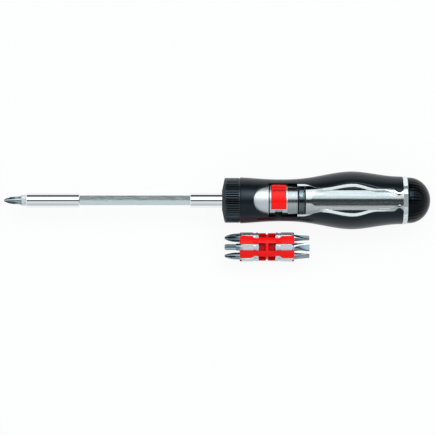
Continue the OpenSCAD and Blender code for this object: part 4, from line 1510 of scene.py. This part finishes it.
@dataclass
class Studio:
    """Pale floor, soft light along the tool and a camera straight above."""

    floor: float
    look_x: float = -2.97
    look_y: float = -11.32
    view_w: float = 287.1
    distance: float = 1600.0
    view_end: float = 20000.0
    sensor: float = 36.0
    floor_half: float = 3000.0
    floor_gap: float = 0.02
    paper: str = "#E8E9EA"
    strength: float = 1.75
    glow: float = 0.92
    box_rise: float = math.radians(33)
    box_lean: float = 0.3
    box_far: float = 3000.0
    box_w: float = 1020.0
    box_h: float = 1200.0
    box_power: float = 22.0

    # Sky across the tool: degrees from the zenith towards +Y, brightness and how cool it is
    SKY: ClassVar[list[tuple[float, float, float]]] = [
        (-180, 0.42, 1.0), (-100, 0.38, 1.0), (-88, 0.33, 1.0), (-60, 0.37, 1.0), (-45, 0.44, 0.7),
        (-20, 0.52, 0.4), (-16, 0.42, 0.6), (-13, 0.04, 0.8), (4, 0.04, 0.8), (6.5, 0.9, 0.8), (8, 0.5, 0.8),
        (9.5, 0.95, 0.8), (11, 0.55, 0.8), (12.5, 1.0, 0.8), (54, 1.0, 0.8), (58, 0.002, 0.8),
        (97, 0.002, 0.8), (101, 0.3, 0.8), (180, 0.42, 0.8)]
    # Shares of red and green that the coolest light lacks
    COOL: ClassVar[tuple[float, float]] = (0.12, 0.03)

    @classmethod
    def from_frame(cls) -> "Studio":
        """Lay the floor just under the flat that the grip rests on."""
        return cls(floor=box_mm("soft_grip")[0][2] - cls.floor_gap)

    def camera(self) -> None:
        """Put the camera above the middle of the view; its lens takes in the view's width."""
        data = bpy.data.cameras.new("camera")
        data.sensor_width = self.sensor
        data.lens = self.sensor * self.distance / self.view_w
        data.clip_end = self.view_end * MM
        camera = bpy.data.objects.new("camera", data)
        camera.location = (self.look_x * MM, self.look_y * MM, self.distance * MM)
        bpy.context.scene.collection.objects.link(camera)
        bpy.context.scene.camera = camera

    def light(self) -> None:
        """Light the room from a sky that is brighter on one side of the tool than on the other.

        The brightness depends on the angle from the zenith across the tool: a wide light bank on
        the +Y side, a darker gap overhead, and a softer bank on the −Y side.
        """
        world = bpy.data.worlds.new("studio")
        bpy.context.scene.world = world
        bare(world)
        tree = world.node_tree
        place = add_node(tree, "ShaderNodeTexCoord")
        parts = add_node(tree, "ShaderNodeSeparateXYZ", links={0: place.outputs["Generated"]})
        across = add_node(tree, "ShaderNodeMath", {"operation": "ARCTAN2"},
                          {0: parts.outputs["Y"], 1: parts.outputs["Z"]})
        share = add_node(tree, "ShaderNodeMapRange", {"From Min": -math.pi, "From Max": math.pi},
                         {"Value": across.outputs[0]})
        ramp = add_node(tree, "ShaderNodeValToRGB", links={0: share.outputs["Result"]})
        elements = ramp.color_ramp.elements
        elements.remove(elements[1])
        for angle, level, cool in self.SKY:
            stop = elements[0] if angle == -180 else elements.new((angle + 180) / 360)
            red, green = (level * (1 - lack * cool) for lack in self.COOL)
            stop.color = (red, green, level, 1)
        sky = add_node(tree, "ShaderNodeBackground", {"Strength": self.strength},
                       {"Color": ramp.outputs["Color"]})
        add_node(tree, "ShaderNodeOutputWorld", links={"Surface": sky.outputs[0]})

    def softbox(self) -> None:
        """Hang a lamp on the +Y side, towards the handle's end, for a soft gleam on grip and cap."""
        data = bpy.data.lights.new("softbox", "AREA")
        data.shape = "RECTANGLE"
        data.size = self.box_w * MM
        data.size_y = self.box_h * MM
        data.energy = self.box_power
        lamp = bpy.data.objects.new("softbox", data)
        way = np.array([self.box_lean, math.sin(self.box_rise), math.cos(self.box_rise)])
        lamp.location = way * self.box_far * MM
        lamp.rotation_euler = (-self.box_rise, 0, 0)
        bpy.context.scene.collection.objects.link(lamp)

    def ground(self) -> None:
        """Lay a pale floor, white to the camera, in metal and through glass, that keeps the shadow."""
        sides = [(-1, -1), (1, -1), (1, 1), (-1, 1)]
        surface = Surface()
        surface.polygon(np.array([(x * self.floor_half, y * self.floor_half, self.floor) for x, y in sides]))
        floor = surface.build("floor")
        made = bpy.data.materials.new("pale_paper")
        bare(made)
        tree = made.node_tree
        path = add_node(tree, "ShaderNodeLightPath")
        seen = path.outputs["Is Camera Ray"]
        for kind in ("Is Glossy Ray", "Is Transmission Ray"):
            seen = add_node(tree, "ShaderNodeMath", {"operation": "MAXIMUM"},
                            {0: seen, 1: path.outputs[kind]}).outputs[0]
        share = add_node(tree, "ShaderNodeMath", {"operation": "MULTIPLY", 1: self.glow}, {0: seen})
        paper = add_node(tree, "ShaderNodeBsdfDiffuse", {"Color": linear(self.paper)})
        glow = add_node(tree, "ShaderNodeEmission", {"Color": (1, 1, 1, 1), "Strength": 1.0})
        both = add_node(tree, "ShaderNodeMixShader",
                        links={0: share.outputs[0], 1: paper.outputs[0], 2: glow.outputs[0]})
        add_node(tree, "ShaderNodeOutputMaterial", links={"Surface": both.outputs[0]})
        floor.data.materials.append(made)

    def build(self) -> None:
        """Make camera, light and floor, with plain colour management."""
        bpy.context.scene.view_settings.view_transform = "Standard"
        self.camera()
        self.light()
        self.softbox()
        self.ground()


# Finishes of the nodes that keep their own shape
KEPT_FINISHES: dict[Finish, tuple[str, ...]] = {
    CHROME: ("bit_holder", "ferrule"),
    BAR_PLATE: ("drive_shaft",),
    SATIN: ("ratchet_housing",),
    SELECTOR: ("selector_ring",),
    BAND: ("housing_end",),
    TUBE: ("magazine_tube",),
    TOOL_STEEL: ("ratchet_gear", "thrust_washer", "shaft_clip", "housing_screws", "pawl_pins",
                 "pawl_springs", "detent_spring", "detent_ball", "pawl_forward", "pawl_reverse"),
    BRONZE: ("front_bush", "rear_bush"),
    MAGNET: ("bit_magnet",),
    SEAL: ("cap_seal",),
}


def dress_kept(nodes: dict[str, bpy.types.Object]) -> None:
    """Give each node that keeps its own shape a finish.

    Args:
        nodes: the frame's nodes by name.
    """
    for finish, names in KEPT_FINISHES.items():
        for name in names:
            finish.dress(nodes[name])
            LOG.info("%s: kept, %s", name, finish.name)


def main() -> None:
    """Build the studio and every piece in order."""
    logging.basicConfig(level=logging.INFO, format="%(name)s: %(message)s")
    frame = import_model()
    Studio.from_frame().build()
    dress_kept(frame["nodes"])
    form = HandleForm.from_frame()
    low, high = box_mm("bit_magazine")
    magazine = Magazine(centre=tuple((low + high) / 2))
    rear_end = box_mm("driver_bit")[1][0]
    fitted = CrossBit("driver_bit", "fitted_bit", size=2.75, start=(rear_end, 0, 0), facing=-1,
                      finish=BIT_STEEL, shank=10.7)
    pieces = [SoftGrip(form), ClearCore(form, end=box_mm("clear_core")[1][0]), EndCap.from_frame(),
              SwitchButton.from_frame(), FingerRing.from_frame(), magazine, fitted, *magazine.spares()]
    for piece in pieces:
        piece.settle()


if __name__ == "__main__":
    main()
